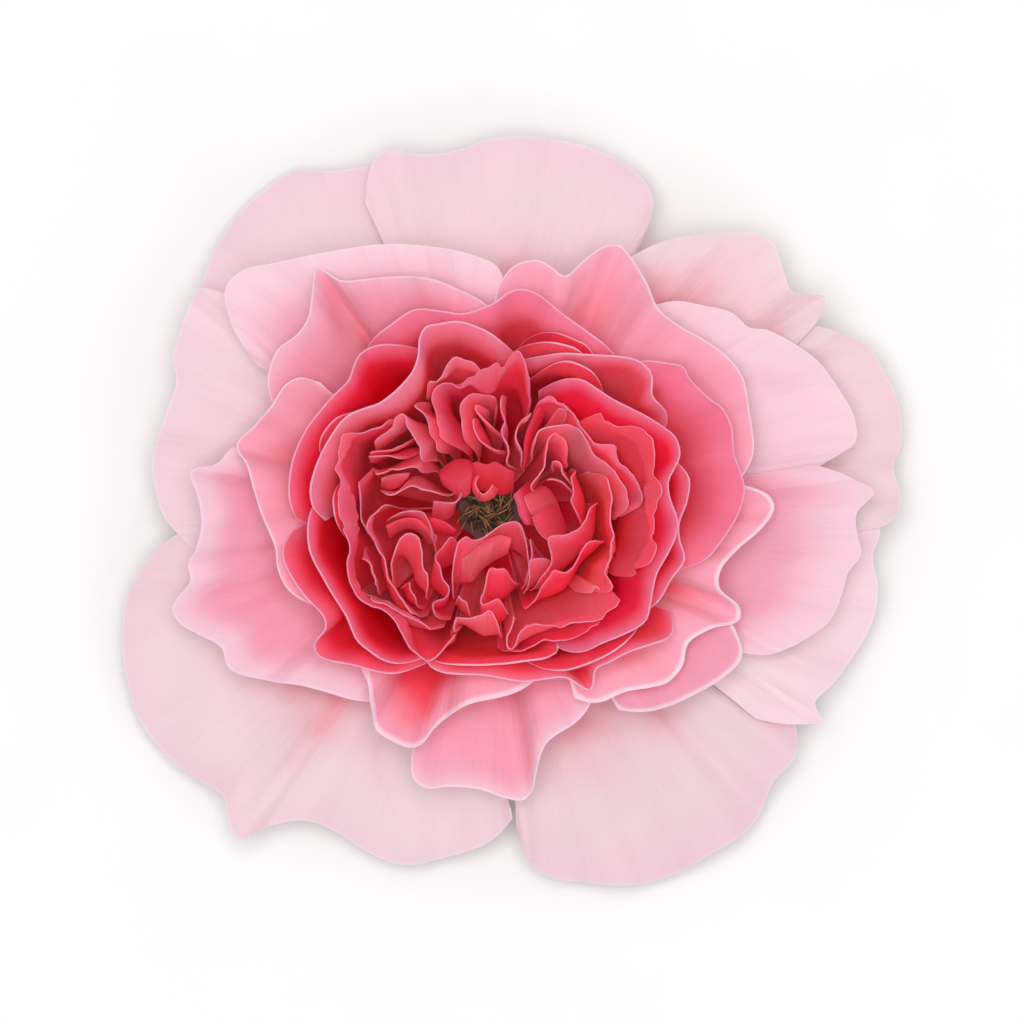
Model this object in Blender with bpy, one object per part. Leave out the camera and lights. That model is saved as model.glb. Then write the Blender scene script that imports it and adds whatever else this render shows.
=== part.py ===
"""Full-blown quartered garden rose, cut just under the hip and standing face up on its reflexed sepals.

Lengths in the tables are millimetres, measured from the flower's own axis; the mesh is written in metres.
Each petal is a thin closed sheet lofted from a narrow claw on the receptacle out to its own rim.
"""

import math

import bpy
import numpy as np
from mathutils import Vector
from mathutils.bvhtree import BVHTree

MM = 0.001
AXIS_SHIFT = (-3.26, 0.23)  # puts the middle of the bounding box over the origin

PETAL_THICK = 0.34
CLAW_THICK = 0.24
GAP = 0.30
CLAW_HALF_WIDTH = 2.5
CELL = 6.4  # wanted facet length along a rim
ACROSS = 5  # facets from claw to rim
FOLD_ACROSS = 6  # facets from foot to rim in the heart
KEPT = 0.6  # share of its radius within which the heart is never drawn in

# ring: (claw radius, claw height) on the receptacle
CLAW = {0: (9.0, 11.5), 1: (8.8, 13.2), 2: (8.4, 15.0)}

# heart of the flower: its folds stand between two levels, under a dish-shaped top, and lean just below it
TIP_Z, FOOT_Z = 42.0, 18.5
FOLD_FOOT_Z = 19.6
DISH_Z, HEART_Z = 34.8, 41.0
LEAN_DEPTH = 7.0
STAMEN_CLEAR = 4.3

# how far the rim sinks towards its two free ends, and over what length
END_DIP = {0: (0.0, 5.0), 1: (1.5, 5.0), 2: (3.0, 4.0), "heart": (4.5, 3.2)}

# name: ring, claw azimuth, rise at claw, lean at rim, flare, rim knots (azimuth, reach, height)
PETALS = {
    "guard_bottom_right": (0, 300, 12, -20, 0, [
        (329, 49, 12), (324.5, 55.5, 10), (321, 57.8, 11), (316, 58, 9), (312, 60, 7), (308.5, 60.7, 9),
        (303, 60.4, 8), (296, 60.4, 6), (290, 59, 7), (285, 57, 8), (279.5, 55, 8), (276.5, 52.3, 10),
        (274.8, 47.5, 12)]),
    "guard_top_left": (0, 122, 12, -20, 0, [
        (149, 49, 13), (144, 53, 11), (138, 55.5, 9), (131, 57.5, 7), (125, 58, 6), (120, 58, 7),
        (115, 55.3, 9), (110, 54, 9), (104, 53, 10), (99, 50, 12)]),
    "guard_bottom_left": (0, 226, 12, -20, 0, [
        (184, 47, 13), (188.5, 51.2, 11), (194, 55.4, 9), (199.5, 57.6, 8), (205.5, 59.3, 8), (211, 60.5, 7),
        (217, 60, 7), (222, 59, 8), (227, 57.6, 10), (229.5, 59.3, 11), (232.5, 61, 12), (235, 56.8, 12),
        (239.3, 53.1, 11), (244.3, 52.6, 10), (250, 53.6, 8), (256, 54, 7), (262, 52, 8), (268, 49.8, 9),
        (274.3, 46.9, 11)]),
    "guard_lower_right": (0, 340, 14, -16, 0, [
        (0.5, 53, 15), (357.5, 57.3, 14), (353, 56.8, 12), (349, 58.2, 11), (344, 58.8, 10), (338, 57.8, 10),
        (333, 56.5, 12), (329.5, 55.5, 13), (327.5, 58, 12), (325.5, 55.5, 13), (322, 51, 14)]),
    "guard_top": (0, 88, 15, -16, 0, [
        (112, 50, 15), (108.5, 54, 14), (106, 55, 14), (101, 53.3, 13), (95, 53.2, 13), (89, 54.8, 12),
        (80, 55.6, 11), (72, 55.3, 10), (66, 54.2, 10), (62, 51.5, 11), (60.5, 46, 13)]),
    "guard_right": (0, 14, 16, -14, 0, [
        (32, 53, 15), (27, 57.5, 14), (24, 60.5, 12), (20, 61.5, 11), (14, 62.3, 10), (9, 61.5, 10),
        (6, 59.8, 11), (2.5, 60.5, 11), (359.5, 60, 12), (357.7, 58, 13), (356.5, 52, 15)]),
    "guard_left": (0, 163, 18, -12, 0, [
        (140, 49, 20), (142.5, 53.4, 19), (145, 53.4, 17), (150.5, 52.4, 15), (154, 51.8, 14),
        (157.5, 49.8, 15), (162, 49.6, 14), (166.5, 49.8, 13), (171.5, 50.3, 12), (176.5, 49.3, 12),
        (181, 48, 13), (185, 45.5, 14), (190, 42.5, 16)]),
    "guard_upper_right": (0, 44, 18, -12, 0, [
        (61, 43.5, 18), (55, 48.8, 17), (50, 53.3, 16), (47, 55.8, 15), (43.5, 57.2, 14), (40, 56, 14),
        (36, 54.8, 15), (34, 56.5, 17), (32.5, 58.3, 18), (30.5, 56, 17), (28, 51, 18)]),
    "mid_upper_right": (1, 28, 22, 0, 0, [
        (54, 36.5, 24), (48, 41, 23), (43.3, 43.4, 22), (39.3, 45.5, 22), (35.3, 46.2, 23), (33, 48.3, 22),
        (29, 50.5, 21), (24, 52.8, 20), (18.3, 54.2, 19), (14.4, 55, 19), (10.6, 54.4, 20), (9, 51.5, 21),
        (7, 48, 22)]),
    "mid_right": (1, 345, 22, 0, 0, [
        (330, 42.3, 23), (333, 46.2, 21), (337, 49.2, 20), (342, 52.2, 20), (346.4, 52.8, 20),
        (350.3, 53.1, 20), (353.2, 54.5, 21), (356.3, 53.7, 22), (359.5, 53.4, 22), (2.8, 56, 23),
        (5, 53, 24), (8, 49, 24)]),
    "mid_lower_left": (1, 200, 24, 0, 0, [
        (166, 39.5, 27), (170.4, 40.3, 27), (172.4, 43.8, 26), (177, 42.5, 25), (182.4, 41.9, 24),
        (187.4, 43.1, 23), (190, 44.7, 22), (193.3, 44.8, 22), (196.9, 48.4, 21), (199.6, 48.3, 21),
        (203, 46.2, 22), (207, 43.9, 22), (211.2, 44.4, 22), (217.1, 41, 23), (223.7, 37, 25),
        (233.4, 34.2, 26), (239, 33.4, 26)]),
    "mid_upper_left": (1, 116, 26, 15, 0, [
        (148, 41, 24), (143.5, 47, 25), (140, 50, 26), (136, 50, 27), (131, 47.5, 28), (125, 45, 29),
        (118, 43, 29), (110, 41, 29), (100, 38.5, 30), (92, 36.5, 30), (88, 35.3, 30), (85.5, 33, 30)]),
    "mid_bottom_outer": (1, 272, 25, -5, 0, [
        (252, 34.5, 25), (252.5, 38, 24), (254, 40.5, 23), (257, 41.5, 22), (262.2, 40.6, 22),
        (268.3, 40.7, 22), (273, 42, 21), (276.4, 42.6, 21), (278.5, 41.5, 22), (280.2, 38.5, 24),
        (283.9, 34.7, 26), (292.3, 33.2, 27), (299.2, 32, 27)]),
    "mid_lower_right": (1, 318, 26, 0, 0, [
        (303, 35.5, 26), (306.8, 36.7, 26), (310.9, 38.1, 25), (317.2, 39.8, 25), (324.4, 41.7, 25),
        (329.8, 42.4, 26), (335, 40, 27)]),
    "mid_top_right": (1, 45, 28, 30, 2, [
        (89, 32, 31), (86, 34.5, 31), (83, 36, 31), (79, 36.8, 31), (75.5, 36.2, 31), (72.2, 35.5, 31),
        (69.3, 38.6, 30), (66.7, 41.5, 28), (64, 42.8, 27), (60.6, 41.9, 28), (55.5, 40, 30), (50.3, 38, 31),
        (44.2, 38.3, 30), (38.4, 39.7, 29), (32.2, 41.1, 28), (27.3, 41.4, 28), (20.5, 40.2, 28),
        (13, 39.3, 29), (7, 38, 30)]),
    "mid_top_left": (1, 120, 30, 40, 2, [
        (155, 35.5, 32), (150, 37, 31), (146.9, 37.8, 31), (142.8, 38.4, 31), (137.2, 37.6, 32),
        (133.1, 38.2, 32), (129.2, 40.4, 32), (125.5, 43, 31), (123, 39.5, 33), (119, 38, 33),
        (115.7, 37.2, 33), (108.8, 35.6, 34), (103, 33.9, 35), (96.1, 31.5, 35), (88, 29.6, 35)]),
    "mid_lower_right_inner": (1, 333, 30, 25, 2, [
        (294, 31, 31), (299.2, 32, 30), (307, 32.8, 30), (312, 34.5, 29), (316, 35.8, 29), (321, 35.9, 29),
        (326.3, 34.6, 30), (332, 36.4, 29), (336.2, 39.6, 27), (338.7, 38.9, 28), (341.2, 35.1, 30),
        (345.6, 34.5, 31), (351.2, 36.4, 30), (356, 39.3, 29), (0.5, 41.3, 28), (3, 40.5, 29),
        (6.5, 37, 31)]),
    "mid_left": (1, 172, 30, 40, 2, [
        (142.8, 31.7, 34), (145, 33.7, 33), (149, 34.6, 33), (154.6, 34.8, 33), (160, 36, 32),
        (165.5, 37.7, 31), (169.3, 35.5, 33), (174.6, 34.1, 34), (180, 33, 34), (186, 31.7, 35),
        (190, 31.2, 35), (195, 31.6, 34), (200.8, 31.3, 34), (208, 30.2, 34)]),
    "mid_bottom": (1, 252, 30, 30, 2, [
        (231, 30.6, 33), (234.8, 30.8, 33), (239.2, 33.2, 31), (242.9, 35.8, 29), (247.3, 36.2, 29),
        (251.5, 36.2, 29), (254, 35, 30), (256.3, 32, 31), (263.1, 28.3, 33), (273.7, 26.9, 34),
        (286, 26.3, 35)]),
    "cup_top": (2, 88, 30, 86, 1.6, [
        (128, 30.5, 37), (119.6, 30, 38), (110.4, 30.7, 38), (104.7, 29.6, 38), (97.6, 28.4, 38),
        (92, 29, 38), (88.3, 29.8, 38), (84.5, 31.5, 37), (81.3, 32.1, 37), (77.6, 31.8, 37),
        (71.5, 30.4, 38), (63, 29.3, 38), (55.1, 29, 38), (48, 29.5, 37)]),
    "cup_right_outer": (2, 12, 30, 74, 2.8, [
        (50, 29, 37), (43, 31.5, 37), (39.1, 33.4, 36), (36.5, 34.7, 36), (33.5, 34.4, 36), (27.1, 35.4, 36),
        (23.4, 36.6, 35), (19.2, 36.8, 35), (12.8, 36.1, 36), (8.8, 36.5, 35), (4.9, 36.8, 35), (0, 36, 35),
        (355, 34.4, 36), (348.6, 32.4, 37), (341, 30, 37)]),
    "cup_lower_left": (2, 214, 30, 88, 1.6, [
        (184, 30.5, 36), (188.6, 30.9, 36), (195.5, 30.3, 37), (205, 29.1, 38), (212.9, 28.2, 38),
        (215.8, 28.9, 38), (217.5, 31.7, 36), (220.5, 32.2, 36), (228.4, 29.6, 37), (237.6, 27.6, 38),
        (247.9, 24.9, 39)]),
    "cup_bottom_outer": (2, 290, 30, 90, 1.0, [
        (245, 25.2, 38), (257, 24, 38), (267.5, 23.6, 38), (275, 24.2, 38), (281.5, 25, 38), (289, 25.5, 38),
        (294.5, 26.3, 38), (299.5, 29.6, 36), (304, 27.4, 37), (309, 27.8, 37), (314.5, 28.5, 37),
        (320, 30, 36), (325.6, 31.8, 35), (331, 31, 35)]),
    "cup_left_outer": (2, 152, 31, 90, 1.2, [
        (184, 28.3, 39), (175, 28.8, 39), (166.7, 29, 39), (156.8, 28.7, 39), (149, 28, 39), (143.6, 27.7, 39),
        (137, 27.4, 39), (133.5, 28.2, 39), (129.5, 29, 39), (124.5, 28.6, 39), (118.7, 27.1, 39),
        (112, 25.8, 39)]),
    "cup_right_back": (2, 350, 31, 90, 1.2, [
        (18, 27.6, 39), (13, 28.4, 39), (8.7, 29, 39), (2.4, 28.3, 39), (356, 27.2, 39), (351, 27.6, 39),
        (346, 28.8, 39), (339, 27.8, 39), (332, 27.6, 39), (325, 27.2, 39)]),
    "cup_upper_right": (2, 55, 31, 90, 1.2, [
        (84, 23.8, 40), (78, 23.4, 40), (72, 23.7, 40), (66, 24.6, 40), (60, 25.8, 40), (51.7, 28.2, 39),
        (45.6, 30.2, 38), (42, 30.6, 38), (39.4, 30.2, 38), (35.5, 28.6, 39), (33.2, 28.7, 39),
        (29, 29.8, 38), (26, 30, 38), (21, 29, 38)]),
    "cup_lower_left_inner": (2, 215, 31, 96, 1.0, [
        (176, 25.3, 40), (182.6, 25.9, 40), (191.8, 26.3, 40), (200.6, 25.7, 40), (208.9, 25.4, 40),
        (216.5, 25.4, 40), (221, 26, 40), (224.5, 26.5, 40), (230, 26.4, 40), (235.4, 26.2, 39),
        (241, 25.6, 39), (246.5, 24.7, 39)]),
    "cup_left_peak": (2, 128, 32, 92, 1.2, [
        (184, 25.6, 41), (178, 25.7, 41), (171.3, 25.7, 41), (163, 25.4, 41), (155.5, 25, 41),
        (146.3, 24.3, 41), (140, 22.8, 42), (136, 21.9, 42), (130, 21.6, 42), (125, 21.8, 42),
        (119, 22.6, 42), (115, 24, 42), (111.5, 26.8, 41), (109, 27.7, 41), (105, 27.6, 40), (99, 27.3, 40),
        (92.2, 25.9, 41), (86, 24.4, 41), (80, 23.4, 41)]),
    "cup_right_main": (2, 348, 32, 80, 2.6, [
        (72, 22, 42), (63, 22.4, 42), (55.7, 22.9, 42), (48, 23.2, 42), (42.3, 23.7, 42), (36, 24.9, 41),
        (31.6, 26, 41), (26, 27.5, 40), (21.5, 28.6, 40), (16.4, 28.4, 40), (12.5, 27, 41), (9.5, 26, 41),
        (5, 25.8, 41), (1.5, 26.2, 41), (356.5, 27, 41), (352, 26.9, 41), (346, 26.2, 41), (339.4, 25.6, 41),
        (334, 26, 41), (330.2, 26.6, 40), (325, 27.4, 40), (321.5, 27, 40), (315, 25.7, 40),
        (309.3, 24.8, 40), (302, 24.5, 40), (296.2, 24, 40), (290, 22.9, 41)]),
    "cup_bottom_inner": (2, 268, 32, 102, 0.2, [
        (297, 23.6, 41), (285.5, 22.2, 41), (276, 22, 41), (267.4, 22.1, 41), (258, 22.5, 41),
        (250, 23.5, 40)]),
}

# petals of the quartered heart: rim knots (x, y, height)
FOLDS = {
    "wall_left": [
        (-15, 15.6, 41), (-18, 13.4, 41), (-20.4, 11, 41), (-21, 9, 41), (-21.4, 6.4, 41), (-21.2, 3, 41),
        (-20.9, 0, 41), (-20.3, -3, 41), (-19.4, -5.6, 41), (-19.7, -8, 41), (-19.4, -10, 41),
        (-18.4, -12.2, 41), (-15.2, -13.6, 41), (-13, -15.6, 41), (-11.5, -18.2, 41), (-10, -20.3, 41),
        (-8.4, -21.4, 41), (-6.4, -20.8, 40), (-5.3, -19.4, 40), (-5.8, -17.6, 39)],
    "wall_top": [
        (-11.4, 19.8, 41), (-10, 20.6, 41), (-7.6, 21, 41), (-4.6, 21.2, 41), (-1.6, 21.1, 41), (0.6, 21, 41)],
    "wall_right": [
        (14.5, 15.6, 41), (18, 15, 41), (20.6, 13.3, 41), (22.3, 10.6, 41), (23.4, 6.4, 41), (23.8, 2, 41),
        (23.6, -2, 41), (22.8, -7, 41), (21.4, -11, 41)],
    "arch_outer": [
        (7.3, 16.6, 41), (7.9, 17.7, 41), (9.6, 17.9, 41), (11.4, 16.9, 41), (12.6, 15.3, 41), (14.2, 12.8, 41),
        (16.2, 9.9, 41), (18.6, 7.4, 41), (21, 5, 41), (22.4, 2.6, 40), (22.6, -1, 40)],
    "arch_inner": [
        (5.8, 7.2, 38), (6.1, 9.4, 39), (7.6, 11.4, 40), (9.8, 12.3, 40), (11.6, 12.8, 40), (13.2, 11.8, 40),
        (14.6, 9.6, 40), (16.2, 7.1, 40), (18.4, 4.7, 40), (20.4, 2, 39), (21, -1.4, 39)],
    "arch_core": [
        (4.8, 1.2, 36), (6.2, 4, 37), (7.7, 6.8, 38), (8.4, 9.6, 39), (9.6, 11.2, 39), (11, 10.9, 39),
        (11.5, 9.4, 39), (11.1, 7.6, 39)],
    "ridge_right": [(12, 7.2, 38), (11.5, 5, 38), (11.4, 2.6, 38), (11.8, 0, 37), (12.1, -2, 36)],
    "wall_inner_right": [
        (15, 7, 39), (16.2, 4.9, 39), (17.3, 3, 40), (17.4, 0, 40), (17.1, -2.4, 40), (17.7, -5, 40),
        (17.6, -8.6, 40), (17.3, -11.6, 40), (16.2, -13.4, 39)],
    "heart_right": [
        (5.4, -9.2, 36), (7.2, -9, 37), (8, -7.2, 37), (8.4, -4.4, 38), (10.4, -3.6, 38), (12.6, -1.8, 38),
        (14, 0.2, 38), (14.5, 2.4, 38)],
    "heart_lower_right": [
        (4.8, -11.6, 38), (6.8, -10.6, 38), (9.2, -9.1, 39), (10.8, -8.6, 39), (12, -6.6, 39),
        (13.8, -4.4, 39), (15.6, -2.8, 39)],
    "wedge_lower_right": [
        (3.6, -12.6, 39), (3.3, -15, 39), (2.7, -17.8, 40), (3, -19.6, 40), (5, -18.4, 40), (8, -17, 40),
        (12, -15.9, 40), (16.5, -14.9, 40), (19.6, -13.4, 40), (20.8, -12.6, 40)],
    "wall_bottom": [
        (1.4, -20.6, 39), (5, -20.3, 39), (9, -20, 39), (12.6, -19, 39), (16, -17.4, 39), (18.6, -15.8, 39)],
    "cup_fold_bottom": [
        (3.7, -6, 36), (2, -7.6, 37), (0.3, -8, 37), (-0.5, -10, 38), (-1, -11.8, 38), (0.4, -13, 38),
        (2, -12.9, 38), (2.6, -11, 38)],
    "round_bottom": [
        (-4.6, -18.6, 38), (-5, -16.6, 39), (-4.2, -15.2, 39), (-1.6, -14.4, 39), (0.8, -15, 39), (2, -16.6, 39)],
    "tongue_centre": [
        (-4.8, -10, 36), (-4.9, -7.6, 36), (-4.2, -4.8, 36), (-2.6, -4, 36), (-0.5, -2.8, 35), (1.6, -1.7, 35),
        (3.8, -2, 35), (5, -4.2, 35), (4.6, -7.2, 35)],
    "loop_lower_left": [
        (-6.3, -16.8, 38), (-7.9, -15.8, 38), (-8.3, -14.2, 38), (-7, -12.9, 38), (-6, -11.6, 37),
        (-6.2, -9.4, 37), (-7.4, -7, 37), (-6.9, -5, 36), (-5, -3.8, 35), (-2.6, -3.8, 34)],
    "fold_lower_left": [
        (-12.6, -9.4, 38), (-13.4, -7, 38), (-13.4, -4.8, 38), (-11.6, -3.5, 38), (-9.8, -4.2, 38),
        (-8.9, -6.4, 38), (-8.7, -9, 37), (-8.6, -11.4, 37)],
    "blade_lower_left": [
        (-12.6, 0.8, 39), (-15.4, 0.4, 39), (-17.4, -0.9, 40), (-17.5, -3.2, 40), (-15.6, -6.4, 40),
        (-14.2, -9.4, 40), (-12.9, -12.2, 40), (-11.2, -14.6, 40), (-9.6, -15.8, 39)],
    "blade_left_low": [
        (-16.6, 2.6, 38), (-14, 2, 39), (-12, 3, 39), (-10, 3.2, 38), (-8, 2.5, 37), (-5.6, 2, 35), (-4, 2.2, 34)],
    "blade_left_mid": [(-18.8, 5.4, 39), (-16, 5.2, 39), (-13.4, 6, 39), (-10.9, 6.1, 39), (-9, 5, 37), (-7.2, 4.2, 36)],
    "blade_left_high": [(-19.8, 7.4, 40), (-17.4, 7.8, 40), (-15.2, 8.1, 40), (-13.2, 7.2, 40), (-11.6, 7.2, 39)],
    "arch_left": [
        (-19.9, 9.9, 40), (-18, 12.8, 40), (-15.4, 14.5, 40), (-13.6, 14.9, 40), (-12.6, 13.6, 40),
        (-12, 11.4, 40), (-10.3, 9, 39), (-9.8, 7.2, 38), (-8.2, 5.4, 37)],
    "blade_top_left": [
        (-11.4, 18.2, 41), (-11.5, 16.6, 40), (-10.5, 15.2, 40), (-9.2, 13.4, 40), (-8.4, 11, 39),
        (-7.6, 8.4, 38), (-6.8, 6.4, 37)],
    "arch_top": [
        (-5.4, 8, 37), (-6.6, 10.6, 39), (-7.7, 13, 40), (-8, 16.2, 40), (-6.8, 18.2, 40), (-4.8, 19.2, 41),
        (-3.4, 19.9, 41), (-1.4, 19.5, 41), (0.4, 20.2, 41), (2.2, 22.3, 41), (3.4, 22.4, 41),
        (4.9, 20.8, 41), (5.7, 19, 41), (6.6, 17, 41)],
    "chevron_outer": [
        (-3.7, 8.6, 36), (-4, 11, 38), (-3.9, 14.2, 39), (-2.8, 16.2, 39), (-0.8, 17.9, 39), (0.8, 17.6, 39),
        (0.2, 15.6, 38)],
    "flap_top": [
        (2.4, 18.9, 40), (1.8, 16.6, 40), (1.5, 14.4, 40), (2.1, 12.6, 39), (1.8, 10.8, 38), (2.4, 8.8, 37),
        (2.4, 6.6, 36), (3.2, 4.6, 35)],
    "leaf_top": [(6.8, 15.6, 40), (5.6, 13.4, 40), (4.2, 12, 39), (3.8, 9.6, 38), (4.4, 7.2, 36), (4.2, 4.6, 35)],
}

# how far, and which way, the folds lean below their tips: (x, y, dx, dy)
LEAN = [
    (13, 4, 4.6, -1.4), (12, -1, 5, -3.4), (8, -4, 4.7, -5.4), (10, -8, 5.4, -6.8), (14, -5, 2.6, -3.8),
    (6, -11, 2, -7.4), (10, -12, 2, -6.1), (14, -11, 1, -2), (6, -16, 0.5, -3), (11, -16, 0.5, -2.5),
    (0, -14, 0, -8.1), (0, -18, 0, -2.5), (0, -9, 0, -7.4), (-3, -5, -1.4, -8.1), (3, -3, 0.7, -8.1),
    (-5, -13, -1.4, -6.1), (-8, -8, -2.7, -5.4), (-12, -5, -2.7, -4.7), (-10, -12, -2.7, -4.1), (-8, -16, -0.5, -2),
    (-17, -4, -0.5, 0), (-15, -9, -1, -0.5), (-11, -0.5, -0.7, -5.4), (-15, -1, -0.5, -1.5), (-7, -1, -0.7, -3.4),
    (-13, 2.5, 0, 3.4), (-9, 3, 0, 1.5), (-12, 6, 0, 5.4), (-16, 6.5, 0, 3.5), (-15, 10, 0, 2.5), (-17, 13, 0, 0),
    (-11, 11, 4.8, 1.5), (-8.5, 15, 3, -1), (-3, 19, 0.5, -2.6), (3, 20, 0, -2), (-4, 12, 3, -0.6), (0, 15, 2, -2.2),
    (0, 10, 1.5, 0), (0, 2.5, 0, 3.4), (-4.5, 2.5, 0, 3), (4.5, 2.5, 2, 2), (2.5, 14, 0.5, 0), (6, 13, -2, 0),
    (3, 6, 0, 1), (9, 16, -0.5, -3.5), (8, 9, 1, 0),
    (6, 3, 2, 1.4), (14, 10, -0.5, -1.5), (18, 6, -1.5, -1), (17, 0, 1.6, -0.5), (17, -8, 1, -0.5), (23, 0, -1.6, 0),
    (22, -9, -1.4, 0.6), (22, 10, -2, -1), (15, 18, -2, -2.5), (0, -21.5, 0, 0), (10, -20.5, 0, 0), (18, -15, 0, 0),
    (-21, 0, 0, 0), (-20.5, 8, 0, 0), (-19, -10, 0, 0), (-13, -17, 0, 0), (-8, 21, 0.5, -1), (0, 0, 0, 0),
]

SEPAL_REACH = (24, 21, 25, 22, 23)
SEPAL_AZIMUTH = (18, 92, 160, 236, 305)


def polar(azimuth, reach, height):
    a = np.radians(azimuth)
    return np.stack([reach * np.cos(a), reach * np.sin(a), height + 0 * a], -1)


def knot_curve(knots, count):
    """count + 1 points, evenly spaced by length, on a smooth curve through the knots."""
    k = np.asarray(knots, float)
    k = np.vstack([2 * k[0] - k[1], k, 2 * k[-1] - k[-2]])
    t = np.linspace(0, 1, 16, endpoint=False)[:, None]
    runs = []
    for p0, p1, p2, p3 in zip(k, k[1:], k[2:], k[3:]):
        d0, d1, d2 = (math.sqrt(np.linalg.norm(b - a)) for a, b in ((p0, p1), (p1, p2), (p2, p3)))
        m1 = (p2 - p1) + d1 * ((p1 - p0) / d0 - (p2 - p0) / (d0 + d1))
        m2 = (p2 - p1) + d1 * ((p3 - p2) / d2 - (p3 - p1) / (d1 + d2))
        runs.append((2 * t**3 - 3 * t**2 + 1) * p1 + (t**3 - 2 * t**2 + t) * m1
                    + (3 * t**2 - 2 * t**3) * p2 + (t**3 - t**2) * m2)
    run = np.vstack([*runs, k[-2:-1]])
    length = np.concatenate([[0], np.cumsum(np.linalg.norm(np.diff(run, axis=0), axis=1))])
    at = np.linspace(0, length[-1], count + 1)
    return np.stack([np.interp(at, length, run[:, j]) for j in range(3)], 1), length[-1]


def facets_for(knots):
    return int(np.clip(round(knot_curve(knots, 8)[1] / CELL), 5, 13))


def petal_sheet(row, along, across):
    """Mid-surface of a petal that rises from its claw to its rim, as an (along+1, across+1, 3) grid."""
    ring, claw, rise, lean, flare, knots = row
    rim, _ = knot_curve([polar(*k) for k in knots], along)
    claw_r, claw_z = CLAW[ring]
    turn = (knots[-1][0] - knots[0][0] + 180) % 360 - 180
    spread = math.copysign(math.degrees(CLAW_HALF_WIDTH / claw_r), turn)
    base = polar(claw + spread * np.linspace(-1, 1, along + 1), np.full(along + 1, claw_r), claw_z)
    out = rim[:, :2] - base[:, :2]
    reach = np.linalg.norm(out, axis=1)
    out = out / reach[:, None]
    up = rim[:, 2] - base[:, 2]
    flare = np.minimum(flare, reach / 2)
    chord = np.hypot(reach - flare, up)
    a, b = math.radians(rise), math.radians(lean)
    x1, z1 = 0.38 * chord * math.cos(a), 0.38 * chord * math.sin(a)
    x2, z2 = reach - flare - 0.38 * chord * math.cos(b), up - 0.38 * chord * math.sin(b)
    v = np.linspace(0, 1, across + 1)[None, :]
    w1, w2, w3 = 3 * (1 - v) ** 2 * v, 3 * (1 - v) * v**2, v**3
    x = w1 * x1[:, None] + w2 * x2[:, None] + w3 * (reach - flare)[:, None]
    z = w1 * z1[:, None] + w2 * z2[:, None] + w3 * up[:, None]
    x = x + flare[:, None] * np.clip((v - 0.7) / 0.3, 0, 1) ** 2
    grid = np.zeros((along + 1, across + 1, 3))
    grid[..., :2] = base[:, None, :2] + out[:, None] * x[..., None]
    grid[..., 2] = base[:, None, 2] + z - end_dip(run_length(rim)[:, None], ring) * v**2
    return grid


def heart_top(mark):
    """Level of the heart's own surface, a shallow dish that rises from the opening to the wall."""
    s = np.clip((np.linalg.norm(mark, axis=-1) - 2) / 18, 0, 1)
    return DISH_Z + (HEART_Z - DISH_Z) * s * s * (3 - 2 * s)


def kept_share(z):
    """Share of its plan radius that a fold keeps at a level, drawing in towards the foot."""
    return 1 - 0.66 * ((TIP_Z - z) / (TIP_Z - FOOT_Z)) ** 2.6


def heart_law(mark, z):
    """Share of its plan place that a fold keeps at a level, and share of its lean that it has taken up."""
    top = heart_top(mark)
    fall = np.clip((top - z) / LEAN_DEPTH, -0.5, 1)
    back = np.clip((top - LEAN_DEPTH - z) / (top - LEAN_DEPTH - FOOT_Z), 0, 1)
    return kept_share(z), np.sin(math.pi / 2 * fall) * np.cos(math.pi / 2 * back) ** 2


def lean_at(xy):
    marks = np.array(LEAN, float)
    away = ((xy[..., None, :] - marks[:, :2]) ** 2).sum(-1)
    share = np.exp(-away / 12) + 1e-6 / (away + 1)
    return (share[..., None] * marks[:, 2:]).sum(-2) / share.sum(-1)[..., None]


def run_length(line):
    return np.concatenate([[0], np.cumsum(np.linalg.norm(np.diff(line, axis=0), axis=1))])


def end_dip(s, kind):
    """How far the rim sinks towards its two free ends, which rounds a petal's shoulders."""
    drop, run = END_DIP[kind]
    run = min(run, s[-1, ...].max() / 3)
    return drop * np.clip(1 - np.minimum(s, s[-1] - s) / run, 0, 1) ** 2


def fold_sheet(knots, along, across):
    """Mid-surface of a petal of the heart: every one follows the same law of plan and lean, so none can cross."""
    rim, _ = knot_curve(knots, along)
    mark = rim[:, :2].copy()
    for _ in range(40):
        scale, sway = heart_law(mark, rim[:, 2])
        mark = 0.5 * mark + 0.5 * (rim[:, :2] - sway[:, None] * lean_at(mark)) / scale[:, None]
    levels = np.linspace(FOOT_Z, TIP_Z, 200)
    clear = np.linalg.norm(mark, axis=1)[:, None] * kept_share(levels)[None, :] > STAMEN_CLEAR
    foot = np.where(clear.any(axis=1), levels[np.argmax(clear, axis=1)], TIP_Z)
    foot = np.minimum(np.maximum(foot, FOLD_FOOT_Z), rim[:, 2] - 5)
    top = rim[:, 2] - end_dip(run_length(rim), "heart")
    v = 1 - (1 - np.linspace(0, 1, across + 1)[None, :]) ** 1.4
    z = foot[:, None] + (top - foot)[:, None] * v
    scale, sway = heart_law(mark[:, None, :], z)
    plan = mark[:, None, :] * scale[..., None] + sway[..., None] * lean_at(mark)[:, None, :]
    return np.concatenate([plan, z[..., None]], -1)


FOCUS_Z = 8.0
LIMIT_AZ, LIMIT_Z, LIMIT_STEP, LIMIT_ROOM = 72, 50, 0.5, 0.5
AZ_CELLS, REACH_CELL, REACH_CELLS = 240, 0.75, 110


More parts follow.
